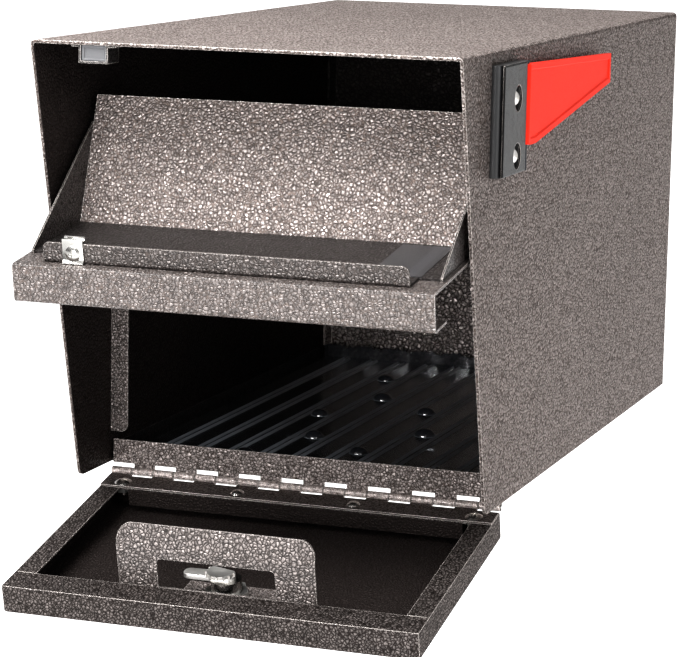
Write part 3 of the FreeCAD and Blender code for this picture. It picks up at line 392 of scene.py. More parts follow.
def painted(name, tone=1.0, cells=500.0, bump=0.7, rough=0.27, edge=0.7, inside=None,
            groove=0.16, depth=0.24, fade=0.3, lit_box=None, gain=PAINTED_LIGHT_GAIN):
    """Hammered paint.

    inside and the other box argument are each a (low, high, pivot, turn). Faces in the inside
    box blend to a nearly black colour, painted shade, and faces in the other box are made
    paler by gain, painted light.
    """
    material, tree, shader = new_material(name)
    coat = add(tree, "ShaderNodeGroup", node_tree=HAMMERED)
    feed(tree, coat.inputs["Pebble Color"], (*[tone * part for part in PEBBLE], 1))
    # The groove colour is a darker share (depth) of the pebble colour: painted shade.
    groove_shade = [tone * depth * part * tint for part, tint in zip(PEBBLE, GROOVE_SHADE_TINT)]
    feed(tree, coat.inputs["Groove Shade Color"], (*groove_shade, 1))
    feed(tree, coat.inputs["Edge Highlight Color"], EDGE)
    feed(tree, coat.inputs["Cells Per Metre"], cells)
    feed(tree, coat.inputs["Groove Width"], groove)
    feed(tree, coat.inputs["Groove Fade"], fade)
    feed(tree, coat.inputs["Edge Light"], edge)
    feed(tree, coat.inputs["Base Roughness"], rough)
    color, roughness = coat.outputs["Color"], coat.outputs["Roughness"]
    # Faces in the second box are made paler by gain: painted light.
    if lit_box is not None:
        more = calc(tree, "MULTIPLY_ADD", box_mask(tree, lit_box), gain - 1.0, 1.0)
        color = blend_colors(tree, 1.0, color, more, "MULTIPLY")
    # Faces in the inside box blend to a nearly black colour: painted shade.
    if inside is not None:
        mask = box_mask(tree, inside)
        color = blend_colors(tree, calc(tree, "MULTIPLY", mask, 0.93), color, PAINTED_INSIDE_SHADE)
        roughness = calc(tree, "MULTIPLY_ADD", mask, 0.12, roughness)
    relief = add(tree, "ShaderNodeBump")
    feed(tree, relief.inputs["Strength"], bump)
    feed(tree, relief.inputs["Distance"], PEBBLE_RISE)
    feed(tree, relief.inputs["Height"], coat.outputs["Height"])
    feed(tree, relief.inputs["Normal"], coat.outputs["Rounded Normal"])
    feed(tree, shader["Base Color"], color)
    feed(tree, shader["Roughness"], roughness)
    feed(tree, shader["Normal"], relief.outputs["Normal"])
    feed(tree, shader["Metallic"], 0.5)
    feed(tree, shader["Coat Weight"], 0.2)
    feed(tree, shader["Coat Roughness"], 0.15)
    return material


print("pebbles rise", PEBBLE_RISE / MM, "mm")

# %% [markdown]
# ## Where things are
# The two doors stand open, turned about their hinges. Their pieces are easiest to shape in
# a straight frame, with the hinge at the origin, and are then turned into place. The frame
# of each comes from the joints in the record, and sizes come from the loaded nodes.

# %% Places
JOINTS = {joint["name"]: joint for joint in frame["record"]["behaviour"]["joints"]}
TILT_OF_HOPPER = math.radians(8.65)


def hinge_frame(joint_name, turn):
    """The matrix from a door's own straight frame to the world."""
    return (Matrix.Translation(Vector(JOINTS[joint_name]["pos_m"]))
            @ Matrix.Rotation(turn, 4, "X"))


DOOR_TURN = math.radians(JOINTS["lower_door_hinge"]["range_deg"][1])
DOOR = hinge_frame("lower_door_hinge", DOOR_TURN)
HOPPER = hinge_frame("hopper_tilt", TILT_OF_HOPPER)


def local_box(node, place):
    """Lowest and highest corners of a node in a door's own frame."""
    back = place.inverted()
    corners = [back @ vertex.co for vertex in NODES[node].data.vertices]
    low = Vector([min(corner[axis] for corner in corners) for axis in range(3)])
    high = Vector([max(corner[axis] for corner in corners) for axis in range(3)])
    return low, high


SHELL_LOW, SHELL_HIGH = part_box("outer_shell")
PAN_LOW, PAN_HIGH = local_box("door_pan", DOOR)
TRAY_LOW, TRAY_HIGH = local_box("hopper_tray", HOPPER)
print("door pan in its own frame", [round(v, 4) for v in (*PAN_LOW, *PAN_HIGH)])

# %% [markdown]
# ## Paint on the sheet-metal parts
# One coat, with its tone and pebble size set for each part, and the tones set to how
# brightly each part shows, as painted light and shade: palest on the top, the baffle and
# the lower back wall, and darker on the doors. The inside of the housing, the floor of the
# tray and the inside of the door's pan blend to nearly black, as painted shade.

# %% Paint the sheet metal
SKIN = 0.5 * MM


def coat_node(node, material):
    data = NODES[node].data
    data.materials.clear()
    data.materials.append(material)


# The boxes below mark painted light and shade: faces in the housing, in the door's pan, on the
# floor of the tray and on the back wall above the hopper blend to nearly black as painted shade;
# the top of the shell, the baffle and the inner face of the back wall are made paler as painted
# light.
shell_shade_box = ((SHELL_LOW[0] + 2 * MM - SKIN, SHELL_LOW[1] + 1 * MM, -1.0),
                (SHELL_HIGH[0] - 3 * MM, 1.0, SHELL_HIGH[2] - 2 * MM + SKIN),
                (0, 0, 0), 0.0)
FLANGE_DEPTH = 1.2 * MM
pan_shade_box = ((PAN_LOW[0] + FLANGE_DEPTH - SKIN / 5, PAN_LOW[1] + SKIN, PAN_LOW[2] + SKIN),
              (PAN_HIGH[0] - FLANGE_DEPTH + SKIN / 5, PAN_HIGH[1] - FLANGE_DEPTH + SKIN / 5,
               PAN_HIGH[2] - FLANGE_DEPTH + SKIN / 5),
              tuple(JOINTS["lower_door_hinge"]["pos_m"]), -DOOR_TURN)
tray_floor_shade_box = ((TRAY_LOW[0], TRAY_LOW[1] + 2 * MM, TRAY_LOW[2] - SKIN),
              (TRAY_HIGH[0], TRAY_HIGH[1] - 39 * MM, TRAY_LOW[2] + 4 * MM),
              tuple(JOINTS["hopper_tilt"]["pos_m"]), -TILT_OF_HOPPER)
DARK_ABOVE = 0.15
back_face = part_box("back_panel")[1][1]
behind_hopper_shade_box = ((-1.0, -1.0, DARK_ABOVE), (1.0, back_face - SKIN, 1.0), (0, 0, 0), 0.0)
back_lit_box = ((-1.0, -1.0, -1.0), (1.0, back_face - SKIN, 1.0), (0, 0, 0), 0.0)
shell_top_lit_box = ((-1.0, -1.0, SHELL_HIGH[2] - 1 * MM), (1.0, 1.0, 1.0), (0, 0, 0), 0.0)
baffle = ((-1.0, TRAY_HIGH[1] - 38 * MM, -1.0), (1.0, 1.0, 1.0),
          tuple(JOINTS["hopper_tilt"]["pos_m"]), -TILT_OF_HOPPER)
# Tone and gain set how brightly each part shows, as painted light and shade on one coat, and
# edge sets its painted edge highlight.
shell_paint = painted("shell_paint", inside=shell_shade_box, lit_box=shell_top_lit_box, tone=0.92, gain=1.85,
                      cells=400.0, bump=1.0, depth=0.25, groove=0.22)
bold_paint = painted("bold_paint")
sill_paint = painted("sill_paint", tone=1.25, depth=0.16)
tongue_paint = painted("tongue_paint", tone=1.0, cells=430.0, bump=0.9, groove=0.2,
                       depth=0.12, fade=0.2)
handle_paint = painted("handle_paint", tone=0.68, depth=0.5, bump=1.0, cells=430.0)
back_paint = painted("back_paint", inside=behind_hopper_shade_box, lit_box=back_lit_box, tone=0.5,
                     gain=3.6, cells=330.0, bump=1.0, depth=0.16)
# The floor pan and cross rail are painted nearly black: painted shade deep in the housing.
deep_shade_paint = painted("painted_shade_dark_paint", tone=0.10, bump=0.3, edge=0.35)
door_paint = painted("door_paint", inside=pan_shade_box, tone=0.46, edge=0.95, depth=0.07,
                     groove=0.3, fade=0.15)
tray_paint = painted("tray_paint", inside=tray_floor_shade_box, lit_box=baffle, tone=0.46, gain=4.3, bump=1.0,
                     depth=0.4, cells=430.0)
leaf_paint = painted("leaf_paint", tone=0.4, bump=0.35, edge=1.0)
wing_paint = painted("wing_paint", tone=0.35, edge=1.0)
# The hood strap is painted nearly black with bright edges: painted shade under the hood and a
# painted edge highlight.
strap_painted_shade = painted("strap_painted_shade", tone=0.1, edge=1.0)
for paint in (shell_paint, door_paint, sill_paint, leaf_paint):
    shader = paint.node_tree.nodes["Principled BSDF"].inputs
    shader["Specular Tint"].default_value = (0.62, 0.52, 0.48, 1)
    shader["Specular IOR Level"].default_value = 0.3
    shader["Coat Weight"].default_value = 0.05
coat_node("hopper_plate", handle_paint)
coat_node("sill_hinge_leaf", sill_paint)
coat_node("lock_tongue", tongue_paint)
for node in ("lock_bracket", "left_jamb", "right_jamb"):
    coat_node(node, bold_paint)
for node in ("floor_pan", "cross_rail"):
    coat_node(node, deep_shade_paint)
for node in ("left_wing", "right_wing"):
    coat_node(node, wing_paint)
coat_node("back_panel", back_paint)
coat_node("door_hinge_leaf", leaf_paint)
coat_node("hood_strap", strap_painted_shade)
coat_node("outer_shell", shell_paint)
coat_node("door_pan", door_paint)
coat_node("hopper_tray", tray_paint)
print("finishes so far", len(bpy.data.materials))

# %% [markdown]
# ## Bare metals
# Screws, studs, lock and trim are bare or plated metal. Fine scratches run along one
# direction, and handling leaves duller patches. One group gives the scratches and patches
# to each of them, with its own amounts.

# %% Metals
def worn_metal_group():
    group, entry, leave = new_group(
        "worn_metal",
        [("Color", "NodeSocketColor", (0.7, 0.7, 0.7, 1)),
         ("Base Roughness", "NodeSocketFloat", 0.25),
         ("Patches", "NodeSocketFloat", 0.2)],
        [("Color", "NodeSocketColor"), ("Roughness", "NodeSocketFloat"),
         ("Height", "NodeSocketFloat")])
    link = group.links.new
    place = add(group, "ShaderNodeTexCoord").outputs["Object"]
    stretch = add(group, "ShaderNodeMapping")
    stretch.inputs["Scale"].default_value = (120.0, 900.0, 2600.0)
    link(place, stretch.inputs["Vector"])
    lines = noise(group, 1.0, 3.0, stretch.outputs[0])
    clouds = noise(group, 160.0, 3.0, place)
    dulled = calc(group, "MULTIPLY", clouds, entry["Patches"])
    link(calc(group, "MULTIPLY_ADD", lines, 0.12, calc(group, "ADD", dulled,
                                                       entry["Base Roughness"])),
         leave["Roughness"])
    shade = calc(group, "MULTIPLY_ADD", clouds, 0.3, 0.84)
    link(blend_colors(group, 1.0, entry["Color"], shade, "MULTIPLY"), leave["Color"])
    link(lines, leave["Height"])
    return group


WORN = worn_metal_group()


def bare_metal(name, color, rough, patches, scratch=0.05):
    material, tree, shader = new_material(name)
    metal = add(tree, "ShaderNodeGroup", node_tree=WORN)
    feed(tree, metal.inputs["Color"], (*color, 1))
    feed(tree, metal.inputs["Base Roughness"], rough)
    feed(tree, metal.inputs["Patches"], patches)
    relief = add(tree, "ShaderNodeBump")
    feed(tree, relief.inputs["Strength"], scratch)
    feed(tree, relief.inputs["Distance"], 0.05 * MM)
    feed(tree, relief.inputs["Height"], metal.outputs["Height"])
    feed(tree, shader["Base Color"], metal.outputs["Color"])
    feed(tree, shader["Roughness"], metal.outputs["Roughness"])
    feed(tree, shader["Normal"], relief.outputs["Normal"])
    feed(tree, shader["Metallic"], 1.0)
    return material


zinc = bare_metal("zinc_plate", (0.66, 0.65, 0.63), 0.22, 0.25)
polished = bare_metal("polished_steel", (0.46, 0.45, 0.43), 0.12, 0.10)
bright_head = bare_metal("bright_screw_heads", (0.88, 0.86, 0.83), 0.34, 0.10)
hinge_head = bare_metal("hinge_bolt_heads", (0.78, 0.76, 0.73), 0.14, 0.10)
black_steel = bare_metal("black_oxide", (0.05, 0.05, 0.055), 0.3, 0.2)
for node in ("hinge_pin", "hinge_bolt_nuts", "pivot_studs", "pivot_rings",
             "lock_nut"):
    coat_node(node, zinc)
for node in ("lock_barrel", "lock_plug", "clip_screw"):
    coat_node(node, polished)
for node in ("cam_screw", "flag_pin"):
    coat_node(node, black_steel)
print("metals", zinc.name, polished.name, bright_head.name, hinge_head.name,
      black_steel.name)

# %% [markdown]
# ## Plastics and rubber
# The flag holder and the bushes are moulded in black plastic with a faint grain, the
# bumper is rubber and the label a plain grey film with a darker band. The liner's film lets
# light through, and its grey tint darkens what is seen through it, as painted shade. Its
# ridges have a pale opaque finish, a painted reflection, and its domes a dark glossy one,
# painted shade, which stand in for how clear film shows over a dark floor. One group makes
# the grain for all of them.

# %% Plastics
def moulded_group():
    group, entry, leave = new_group(
        "moulded_grain",
        [("Color", "NodeSocketColor", (0.03, 0.03, 0.03, 1)),
         ("Grain Scale", "NodeSocketFloat", 1200.0),
         ("Base Roughness", "NodeSocketFloat", 0.4)],
        [("Color", "NodeSocketColor"), ("Roughness", "NodeSocketFloat"),
         ("Height", "NodeSocketFloat")])
    link = group.links.new
    place = add(group, "ShaderNodeTexCoord").outputs["Object"]
    grain = add(group, "ShaderNodeTexNoise")
    link(place, grain.inputs["Vector"])
    link(entry["Grain Scale"], grain.inputs["Scale"])
    clouds = noise(group, 60.0, 3.0, place)
    shade = calc(group, "MULTIPLY_ADD", clouds, 0.4, 0.8)
    link(blend_colors(group, 1.0, entry["Color"], shade, "MULTIPLY"), leave["Color"])
    link(calc(group, "MULTIPLY_ADD", grain.outputs[0], 0.2, entry["Base Roughness"]),
         leave["Roughness"])
    link(grain.outputs[0], leave["Height"])
    return group


MOULDED = moulded_group()


def moulded(name, color, rough, grain=1200.0, bump=0.15, band=None):
    """Moulded plastic; band is (low, high) along X in metres, and is darker."""
    material, tree, shader = new_material(name)
    body = add(tree, "ShaderNodeGroup", node_tree=MOULDED)
    feed(tree, body.inputs["Color"], (*color, 1))
    feed(tree, body.inputs["Grain Scale"], grain)
    feed(tree, body.inputs["Base Roughness"], rough)
    shown = body.outputs["Color"]
    if band is not None:
        split = add(tree, "ShaderNodeSeparateXYZ")
        feed(tree, split.inputs[0], add(tree, "ShaderNodeTexCoord").outputs["Object"])
        across = calc(tree, "MULTIPLY",
                      calc(tree, "GREATER_THAN", split.outputs["X"], band[0]),
                      calc(tree, "LESS_THAN", split.outputs["X"], band[1]))
        shown = blend_colors(tree, calc(tree, "MULTIPLY", across, 0.7), shown,
                             (0.05, 0.05, 0.055, 1))
    relief = add(tree, "ShaderNodeBump")
    feed(tree, relief.inputs["Strength"], bump)
    feed(tree, relief.inputs["Distance"], 0.08 * MM)
    feed(tree, relief.inputs["Height"], body.outputs["Height"])
    feed(tree, shader["Base Color"], shown)
    feed(tree, shader["Roughness"], body.outputs["Roughness"])
    feed(tree, shader["Normal"], relief.outputs["Normal"])
    return material


black_plastic = moulded("black_plastic", (0.012, 0.012, 0.013), 0.25)
# Black gloss whose edges blend to a pale colour: a painted highlight.
trim = painted("dark_gloss_trim", tone=0.014, cells=1500.0, bump=0.02, rough=0.10, edge=0.8,
               depth=0.9)
trim_shader = trim.node_tree.nodes["Principled BSDF"].inputs
trim_shader["Metallic"].default_value = 0.0
trim_shader["Coat Weight"].default_value = 0.0
trim_shader["Specular IOR Level"].default_value = 0.12
rubber = moulded("grey_rubber", (0.10, 0.10, 0.105), 0.55, grain=700.0, bump=0.3)
label_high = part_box("blank_label")[1]
label_film = moulded("label_film", (0.034, 0.034, 0.036), 0.32, bump=0.05,
                     band=(label_high[0] - 11 * MM, label_high[0] - 4 * MM))
red_plastic = moulded("red_flag_plastic", (0.74, 0.028, 0.012), 0.45, bump=0.06)
red_plastic.node_tree.nodes["Principled BSDF"].inputs["Specular IOR Level"].default_value = 0.08


def see_through(name, color, rough):
    material = moulded(name, color, rough, grain=300.0, bump=0.03)
    shader = material.node_tree.nodes["Principled BSDF"].inputs
    shader["Transmission Weight"].default_value = 0.95
    shader["IOR"].default_value = 1.46
    return material


# The clear film's grey tint darkens what is seen through it: painted shade.
liner_film_painted_shade = see_through("liner_film_tint_painted_shade", (0.46, 0.48, 0.52), 0.08)
# The ridges are pale and opaque: a painted reflection on clear film.
ridge_painted_reflection = moulded("ridge_film_painted_reflection", (0.34, 0.37, 0.41), 0.12, grain=300.0, bump=0.02)
# The domes are dark and glossy: painted shade seen through clear film.
dome_painted_shade = moulded("dome_film_painted_shade", (0.030, 0.032, 0.038), 0.06, grain=300.0, bump=0.02)
dome_shader = dome_painted_shade.node_tree.nodes["Principled BSDF"].inputs
dome_shader["IOR"].default_value = 2.2
dome_shader["Coat Weight"].default_value = 1.0
coat_node("flag_holder", black_plastic)
coat_node("holder_cover", trim)
coat_node("hopper_bushes", black_plastic)
coat_node("blank_label", label_film)
print("label band from", round(label_high[0] - 11 * MM, 4), "m")

# %% [markdown]
# ## Modelling helpers
# Each piece starts as a primitive at its size and place and is shaped in edit mode. These
# helpers hold the steps that come back: start a block or a rod, pick faces or edges by a
# test, cut with a plane, round the edges, and put the finished piece in its place.

# %% Modelling helpers
def deselect():
    bpy.ops.object.select_all(action="DESELECT")


def block(name, low, high):
    """A block between two corners, with its place in its mesh."""
    deselect()
    low, high = Vector(low), Vector(high)
    bpy.ops.mesh.primitive_cube_add(size=1, location=(low + high) / 2)
    piece = bpy.context.object
    piece.name = name
    piece.scale = high - low
    bpy.ops.object.transform_apply(location=True, rotation=True, scale=True)
    return piece


def disc(name, radius, thickness, centre, vertices=32):
    """A short rod along Y, with its place in its mesh."""
    deselect()
    bpy.ops.mesh.primitive_cylinder_add(vertices=vertices, radius=radius, depth=thickness,
                                        location=centre, rotation=(math.radians(90), 0, 0))
    piece = bpy.context.object
    piece.name = name
    bpy.ops.object.transform_apply(location=True, rotation=True, scale=True)
    return piece


def activate(piece):
    deselect()
    piece.select_set(True)
    bpy.context.view_layer.objects.active = piece


def pick(piece, faces=None, edges=None, vertices=None):
    """Enters edit mode with only those faces, edges or vertices selected that pass a test."""
    activate(piece)
    mesh = piece.data
    mode = "FACE" if faces else "EDGE" if edges else "VERT"
    bpy.ops.object.mode_set(mode="EDIT")
    bpy.ops.mesh.select_mode(type=mode)
    bpy.ops.mesh.select_all(action="DESELECT")
    bpy.ops.object.mode_set(mode="OBJECT")
    if faces:
        chosen = [face for face in mesh.polygons if faces(face.center, face.normal)]
    elif edges:
        chosen = []
        for edge in mesh.edges:
            first, last = (mesh.vertices[index].co for index in edge.vertices)
            if edges((first + last) / 2, (last - first).normalized()):
                chosen.append(edge)
    else:
        chosen = [vertex for vertex in mesh.vertices if vertices(vertex.co)]
    for item in chosen:
        item.select = True
    bpy.ops.object.mode_set(mode="EDIT")


def leave_edit():
    bpy.ops.object.mode_set(mode="OBJECT")


def slice_off(piece, point, normal):
    """Cuts away all that lies beyond a plane, on the side its normal points to."""
    pick(piece, vertices=lambda place: True)
    bpy.ops.mesh.bisect(plane_co=point, plane_no=normal, use_fill=True, clear_outer=True)
    leave_edit()


def round_edges(piece, width, segments=3, test=None):
    pick(piece, edges=test or (lambda middle, way: True))
    bpy.ops.mesh.bevel(offset=width, offset_type="OFFSET", segments=segments, profile=0.5,
                       clamp_overlap=True)
    leave_edit()


def apply_modifier(piece, kind, **settings):
    activate(piece)
    modifier = piece.modifiers.new(kind.lower(), kind)
    for label, value in settings.items():
        setattr(modifier, label, value)
    bpy.ops.object.modifier_apply(modifier=modifier.name)


def finish(piece, material, body, place=None, smooth=30):
    """Turns the piece into place, smooths it, and gives it its finish and its body."""
    activate(piece)
    if place is not None:
        piece.matrix_world = place
        bpy.ops.object.transform_apply(location=True, rotation=True, scale=True)
    pick(piece, vertices=lambda spot: True)
    bpy.ops.mesh.normals_make_consistent(inside=False)
    leave_edit()
    bpy.ops.object.shade_smooth_by_angle(angle=math.radians(smooth))
    piece.data.materials.clear()
    piece.data.materials.append(material)
    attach(piece, body)
    print(piece.name, len(piece.data.polygons), "faces")


print("modelling helpers ready")

# %% [markdown]
# ## Hinge knuckles
# The hinge is a piano hinge: two leaves whose edges are rolled round one long pin in turn.
# The rolled knuckles are painted brighter than the leaves, as a painted highlight, with a
# dark gap between neighbours. One knuckle is a short rod with rounded ends; it is copied along
# the pin, each with its own mesh, and every other one belongs to the door.

# %% Hinge knuckles
KNUCKLES = 18
KNUCKLE_RADIUS = 2.55 * MM
KNUCKLE_GAP = 0.9 * MM


def knuckles(name, first, body, node):
    """Every other knuckle of the hinge, starting from the first, joined into one piece."""
    low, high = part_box(node)
    pin = Vector(JOINTS["lower_door_hinge"]["pos_m"])
    pitch = (high[0] - low[0]) / KNUCKLES
    deselect()
    bpy.ops.mesh.primitive_cylinder_add(vertices=24, radius=KNUCKLE_RADIUS,
                                        depth=pitch - KNUCKLE_GAP,
                                        location=(low[0] + (first + 0.5) * pitch, pin.y, pin.z),
                                        rotation=(0, math.radians(90), 0))
    row = bpy.context.object
    row.name = name
    bpy.ops.object.transform_apply(location=True, rotation=True, scale=True)
    round_edges(row, 0.4 * MM, 3, lambda middle, way: abs(way.x) < 0.1)
    parts = [row]
    for number in range(1, KNUCKLES // 2):
        copy = bpy.data.objects.new(f"{name}_{number}", row.data.copy())
        bpy.context.scene.collection.objects.link(copy)
        copy.location = (2 * number * pitch, 0, 0)
        parts.append(copy)
    activate(row)
    for part in parts:
        part.select_set(True)
    bpy.ops.object.transform_apply(location=True, rotation=True, scale=True)
    bpy.ops.object.join()
    finish(row, knuckle_painted_highlight, body)


# A pale tone on the knuckles: a painted highlight.
knuckle_painted_highlight = painted("knuckle_painted_highlight", tone=2.4, cells=900.0, bump=0.3, rough=0.22)
knuckles("door_knuckles", 0, "lower_door", "hinge_pin")
knuckles("sill_knuckles", 1, "housing", "hinge_pin")

# %% [markdown]
# ## Heads of the hinge bolts and rivets
# Two round-headed bolts and two rivets hold the door to the lower leaf of the hinge. A ball
# cut to a low dome makes each head, wider on the bolts; the bolts also have a cross pressed
# into the top. Each has its shank, and stays low, because the two leaves of the hinge fold
# together with the heads between them when the door shuts.

# %% Heads on the hinge leaf
CROSS_ARM = 0.55 * MM
LEAF_SHEET = 1.2 * MM
BOLT_SHANK = 2.5 * MM
RIVET_SHANK = 2.0 * MM
HEAD_SPACING = 5 * MM


def domed_head(radius, rise, recess=0.0):
    """A low dome that faces +X, with its seat at the origin and a cross of some depth."""
    ball = (radius ** 2 + rise ** 2) / (2 * rise)
    deselect()
    bpy.ops.mesh.primitive_uv_sphere_add(segments=32, ring_count=48, radius=ball,
                                         location=(rise - ball, 0, 0),
                                         rotation=(0, math.radians(90), 0))
    head = bpy.context.object
    bpy.ops.object.transform_apply(location=True, rotation=True, scale=True)
    slice_off(head, (0, 0, 0), (-1, 0, 0))
    if recess == 0.0:
        return head
    for way in ((0, 1, 0), (0, 0, 1)):
        for side in (-CROSS_ARM, CROSS_ARM):
            pick(head, vertices=lambda place: True)
            bpy.ops.mesh.bisect(plane_co=[side * part for part in way], plane_no=way)
            leave_edit()
    reach = 0.55 * radius
    pick(head, faces=lambda middle, normal: normal.x > 0.3
         and max(abs(middle.y), abs(middle.z)) < reach
         and min(abs(middle.y), abs(middle.z)) < CROSS_ARM)
    bpy.ops.mesh.extrude_region_move(TRANSFORM_OT_translate={"value": (-recess, 0, 0)})
    leave_edit()
    return head


def head_places(node):
    """Centre of the top, radius and length, in the door's frame, of each bolt or rivet."""
    back = DOOR.inverted()
    spots = [back @ vertex.co for vertex in NODES[node].data.vertices]
    groups = []
    for spot in sorted(spots, key=lambda spot: spot.x):
        if groups and spot.x - groups[-1][-1].x < HEAD_SPACING:
            groups[-1].append(spot)
        else:
            groups.append([spot])
    places = []
    for group in groups:
        low = Vector([min(spot[axis] for spot in group) for axis in range(3)])
        high = Vector([max(spot[axis] for spot in group) for axis in range(3)])
        top = Vector(((low.x + high.x) / 2, high.y, (low.z + high.z) / 2))
        places.append((top, (high.x - low.x) / 2, high.y - low.y))
    return places


def hinge_heads(node, name, shank_radius, recess_share):
    """Heads no higher than the steel part's own, so that the leaves can fold together."""
    leaf_face = PAN_HIGH.y + LEAF_SHEET
    for number, (top, radius, length) in enumerate(head_places(node), start=1):
        rise = top.y - leaf_face
        head = domed_head(radius, rise, recess_share * rise)
        head.name = f"{name}_{number}"
        pick(head, faces=lambda middle, normal: normal.x < -0.9)
        bpy.ops.mesh.inset(thickness=radius - shank_radius, depth=0)
        bpy.ops.mesh.extrude_region_move(
            TRANSFORM_OT_translate={"value": (rise - length, 0, 0)})
        leave_edit()
        seat = Matrix.Translation(top - Vector((0, rise, 0)))
        finish(head, hinge_head, "lower_door",
               DOOR @ seat @ Matrix.Rotation(math.radians(90), 4, "Z"))
        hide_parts(node)
        print(name, number, "rise in mm", round(rise / MM, 2))


hinge_heads("hinge_bolts", "hinge_bolt_head", BOLT_SHANK, 0.4)
hinge_heads("hinge_rivets", "hinge_rivet_head", RIVET_SHANK, 0.0)

# %% [markdown]
# ## Signal flag
# The flag is one moulded blade that tapers to the back. A raised rim runs round a thinner
# panel, which keeps a thin moulding stiff, and a barrel along the front edge turns on the
# pin. The blade is a block cut by two slanting planes; the panel is inset and pushed in.

# %% Flag
FLAG_LOW, FLAG_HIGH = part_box("flag")
RIM = 3.4 * MM
PANEL_DEPTH = 0.9 * MM
BLADE_HALF = 1.5 * MM
BARREL_RADIUS = 3 * MM
STRAIGHT_FOOT = 20 * MM
TAPER_BELOW = 24.5 * MM
TAPER_ABOVE = 6 * MM
BLADE_START = 2 * MM
CORNER_CUT = 5 * MM
CORNER_SLANT = 1.6
NEAR_SLANT = 1.2 * MM
NEAR_END = 0.5 * MM
NEAR_MIDDLE = 0.4 * MM


def on_outline(middle, axis_x, axis_y):
    """Whether an edge is on the blade's outline, and not on its outer face."""
    start, foot, back = axis_y + BLADE_START, axis_y + STRAIGHT_FOOT, FLAG_HIGH[1]
    low_edge = FLAG_LOW[2] + max(0, middle.y - foot) / (back - foot) * TAPER_BELOW
    high_edge = FLAG_HIGH[2] - (middle.y - start) / (back - start) * TAPER_ABOVE
    outside = (middle.z < low_edge + NEAR_SLANT or middle.z > high_edge - NEAR_SLANT
               or middle.y < start + NEAR_END or middle.y > back - NEAR_END)
    return outside and middle.x < axis_x + NEAR_MIDDLE


def flag_piece():
    pin_low, pin_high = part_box("flag_pin")
    axis_x, axis_y = (pin_low[0] + pin_high[0]) / 2, (pin_low[1] + pin_high[1]) / 2
    start = axis_y + BLADE_START
    blade = block("flag_blade", (axis_x - BLADE_HALF, start, FLAG_LOW[2]),
                  (axis_x + BLADE_HALF, FLAG_HIGH[1], FLAG_HIGH[2]))
    run = FLAG_HIGH[1] - axis_y - STRAIGHT_FOOT
    slice_off(blade, (axis_x, axis_y + STRAIGHT_FOOT, FLAG_LOW[2]), (0, TAPER_BELOW, -run))
    slice_off(blade, (axis_x, start, FLAG_HIGH[2]), (0, TAPER_ABOVE, FLAG_HIGH[1] - start))
    slice_off(blade, (axis_x, start, FLAG_LOW[2] + CORNER_CUT), (0, -1, -CORNER_SLANT))
    for side in (-1, 1):
        pick(blade, faces=lambda middle, normal: normal.x * side > 0.9)
        bpy.ops.mesh.inset(thickness=RIM, depth=0)
        bpy.ops.mesh.inset(thickness=PANEL_DEPTH, depth=-PANEL_DEPTH)
        leave_edit()
    round_edges(blade, 0.5 * MM, 3, lambda middle, way: on_outline(middle, axis_x, axis_y))
    deselect()
    bpy.ops.mesh.primitive_cylinder_add(
        vertices=28, radius=BARREL_RADIUS, depth=FLAG_HIGH[2] - FLAG_LOW[2] - 1 * MM,
        location=(axis_x, axis_y, (FLAG_HIGH[2] + FLAG_LOW[2] + 1 * MM) / 2))
    barrel = bpy.context.object
    bpy.ops.object.transform_apply(location=True, rotation=True, scale=True)
    round_edges(barrel, 0.4 * MM, 2, lambda middle, way: abs(way.z) < 0.1)
    activate(blade)
    barrel.select_set(True)
    bpy.ops.object.join()
    finish(blade, red_plastic, "flag")
    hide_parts("flag")


flag_piece()

# %% [markdown]
# ## Screws of the holder
# Two bright screws with low round heads hold the holder to the side. Each sits in a round
# well on a small washer. One is shaped from a ball cut to a low dome, with a ring of faces
# pulled out as the washer and a cross pressed into the top, and is then copied.

# %% Holder screws
HEAD_RADIUS = 4.4 * MM
HEAD_RISE = 2.4 * MM
HEAD_RECESS = 1.1 * MM
WASHER_SHEET = 0.8 * MM
WASHER_SPREAD = 1.35
WELL_DEPTH = 1.0 * MM


def holder_screw_master():
    """A screw head on a washer that faces +X, with its seat at the origin."""
    head = domed_head(HEAD_RADIUS, HEAD_RISE, HEAD_RECESS)
    pick(head, faces=lambda middle, normal: normal.x < -0.9)
    bpy.ops.mesh.extrude_region_move(TRANSFORM_OT_translate={"value": (-WASHER_SHEET, 0, 0)})
    bpy.ops.transform.resize(value=(1, WASHER_SPREAD, WASHER_SPREAD))
    leave_edit()
    return head


def holder_screws():
    master = holder_screw_master()
    low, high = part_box("holder_screws")
    middle_y = (low[1] + high[1]) / 2
    cad_radius = (high[1] - low[1]) / 2
    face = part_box("flag_holder")[1][0]
    for name, z in (("lower", low[2] + cad_radius), ("upper", high[2] - cad_radius)):
        screw = bpy.data.objects.new(f"holder_screw_{name}", master.data.copy())
        bpy.context.scene.collection.objects.link(screw)
        finish(screw, bright_head, "housing",
               Matrix.Translation((face - WELL_DEPTH, middle_y, z)))
        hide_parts("holder_screws")
    bpy.data.objects.remove(master)


holder_screws()

# %% [markdown]
# ## Clear liner
# A clear vacuum-formed mat lies on the floor, so that parcels slide and stay dry. Thin
# ridges run from front to back in pairs, and the back edge turns up in a row of scallops.
# The mat is a grid whose columns are lifted into ridges. Its back row is extruded up and
# waved, and then the mat gets its thickness.

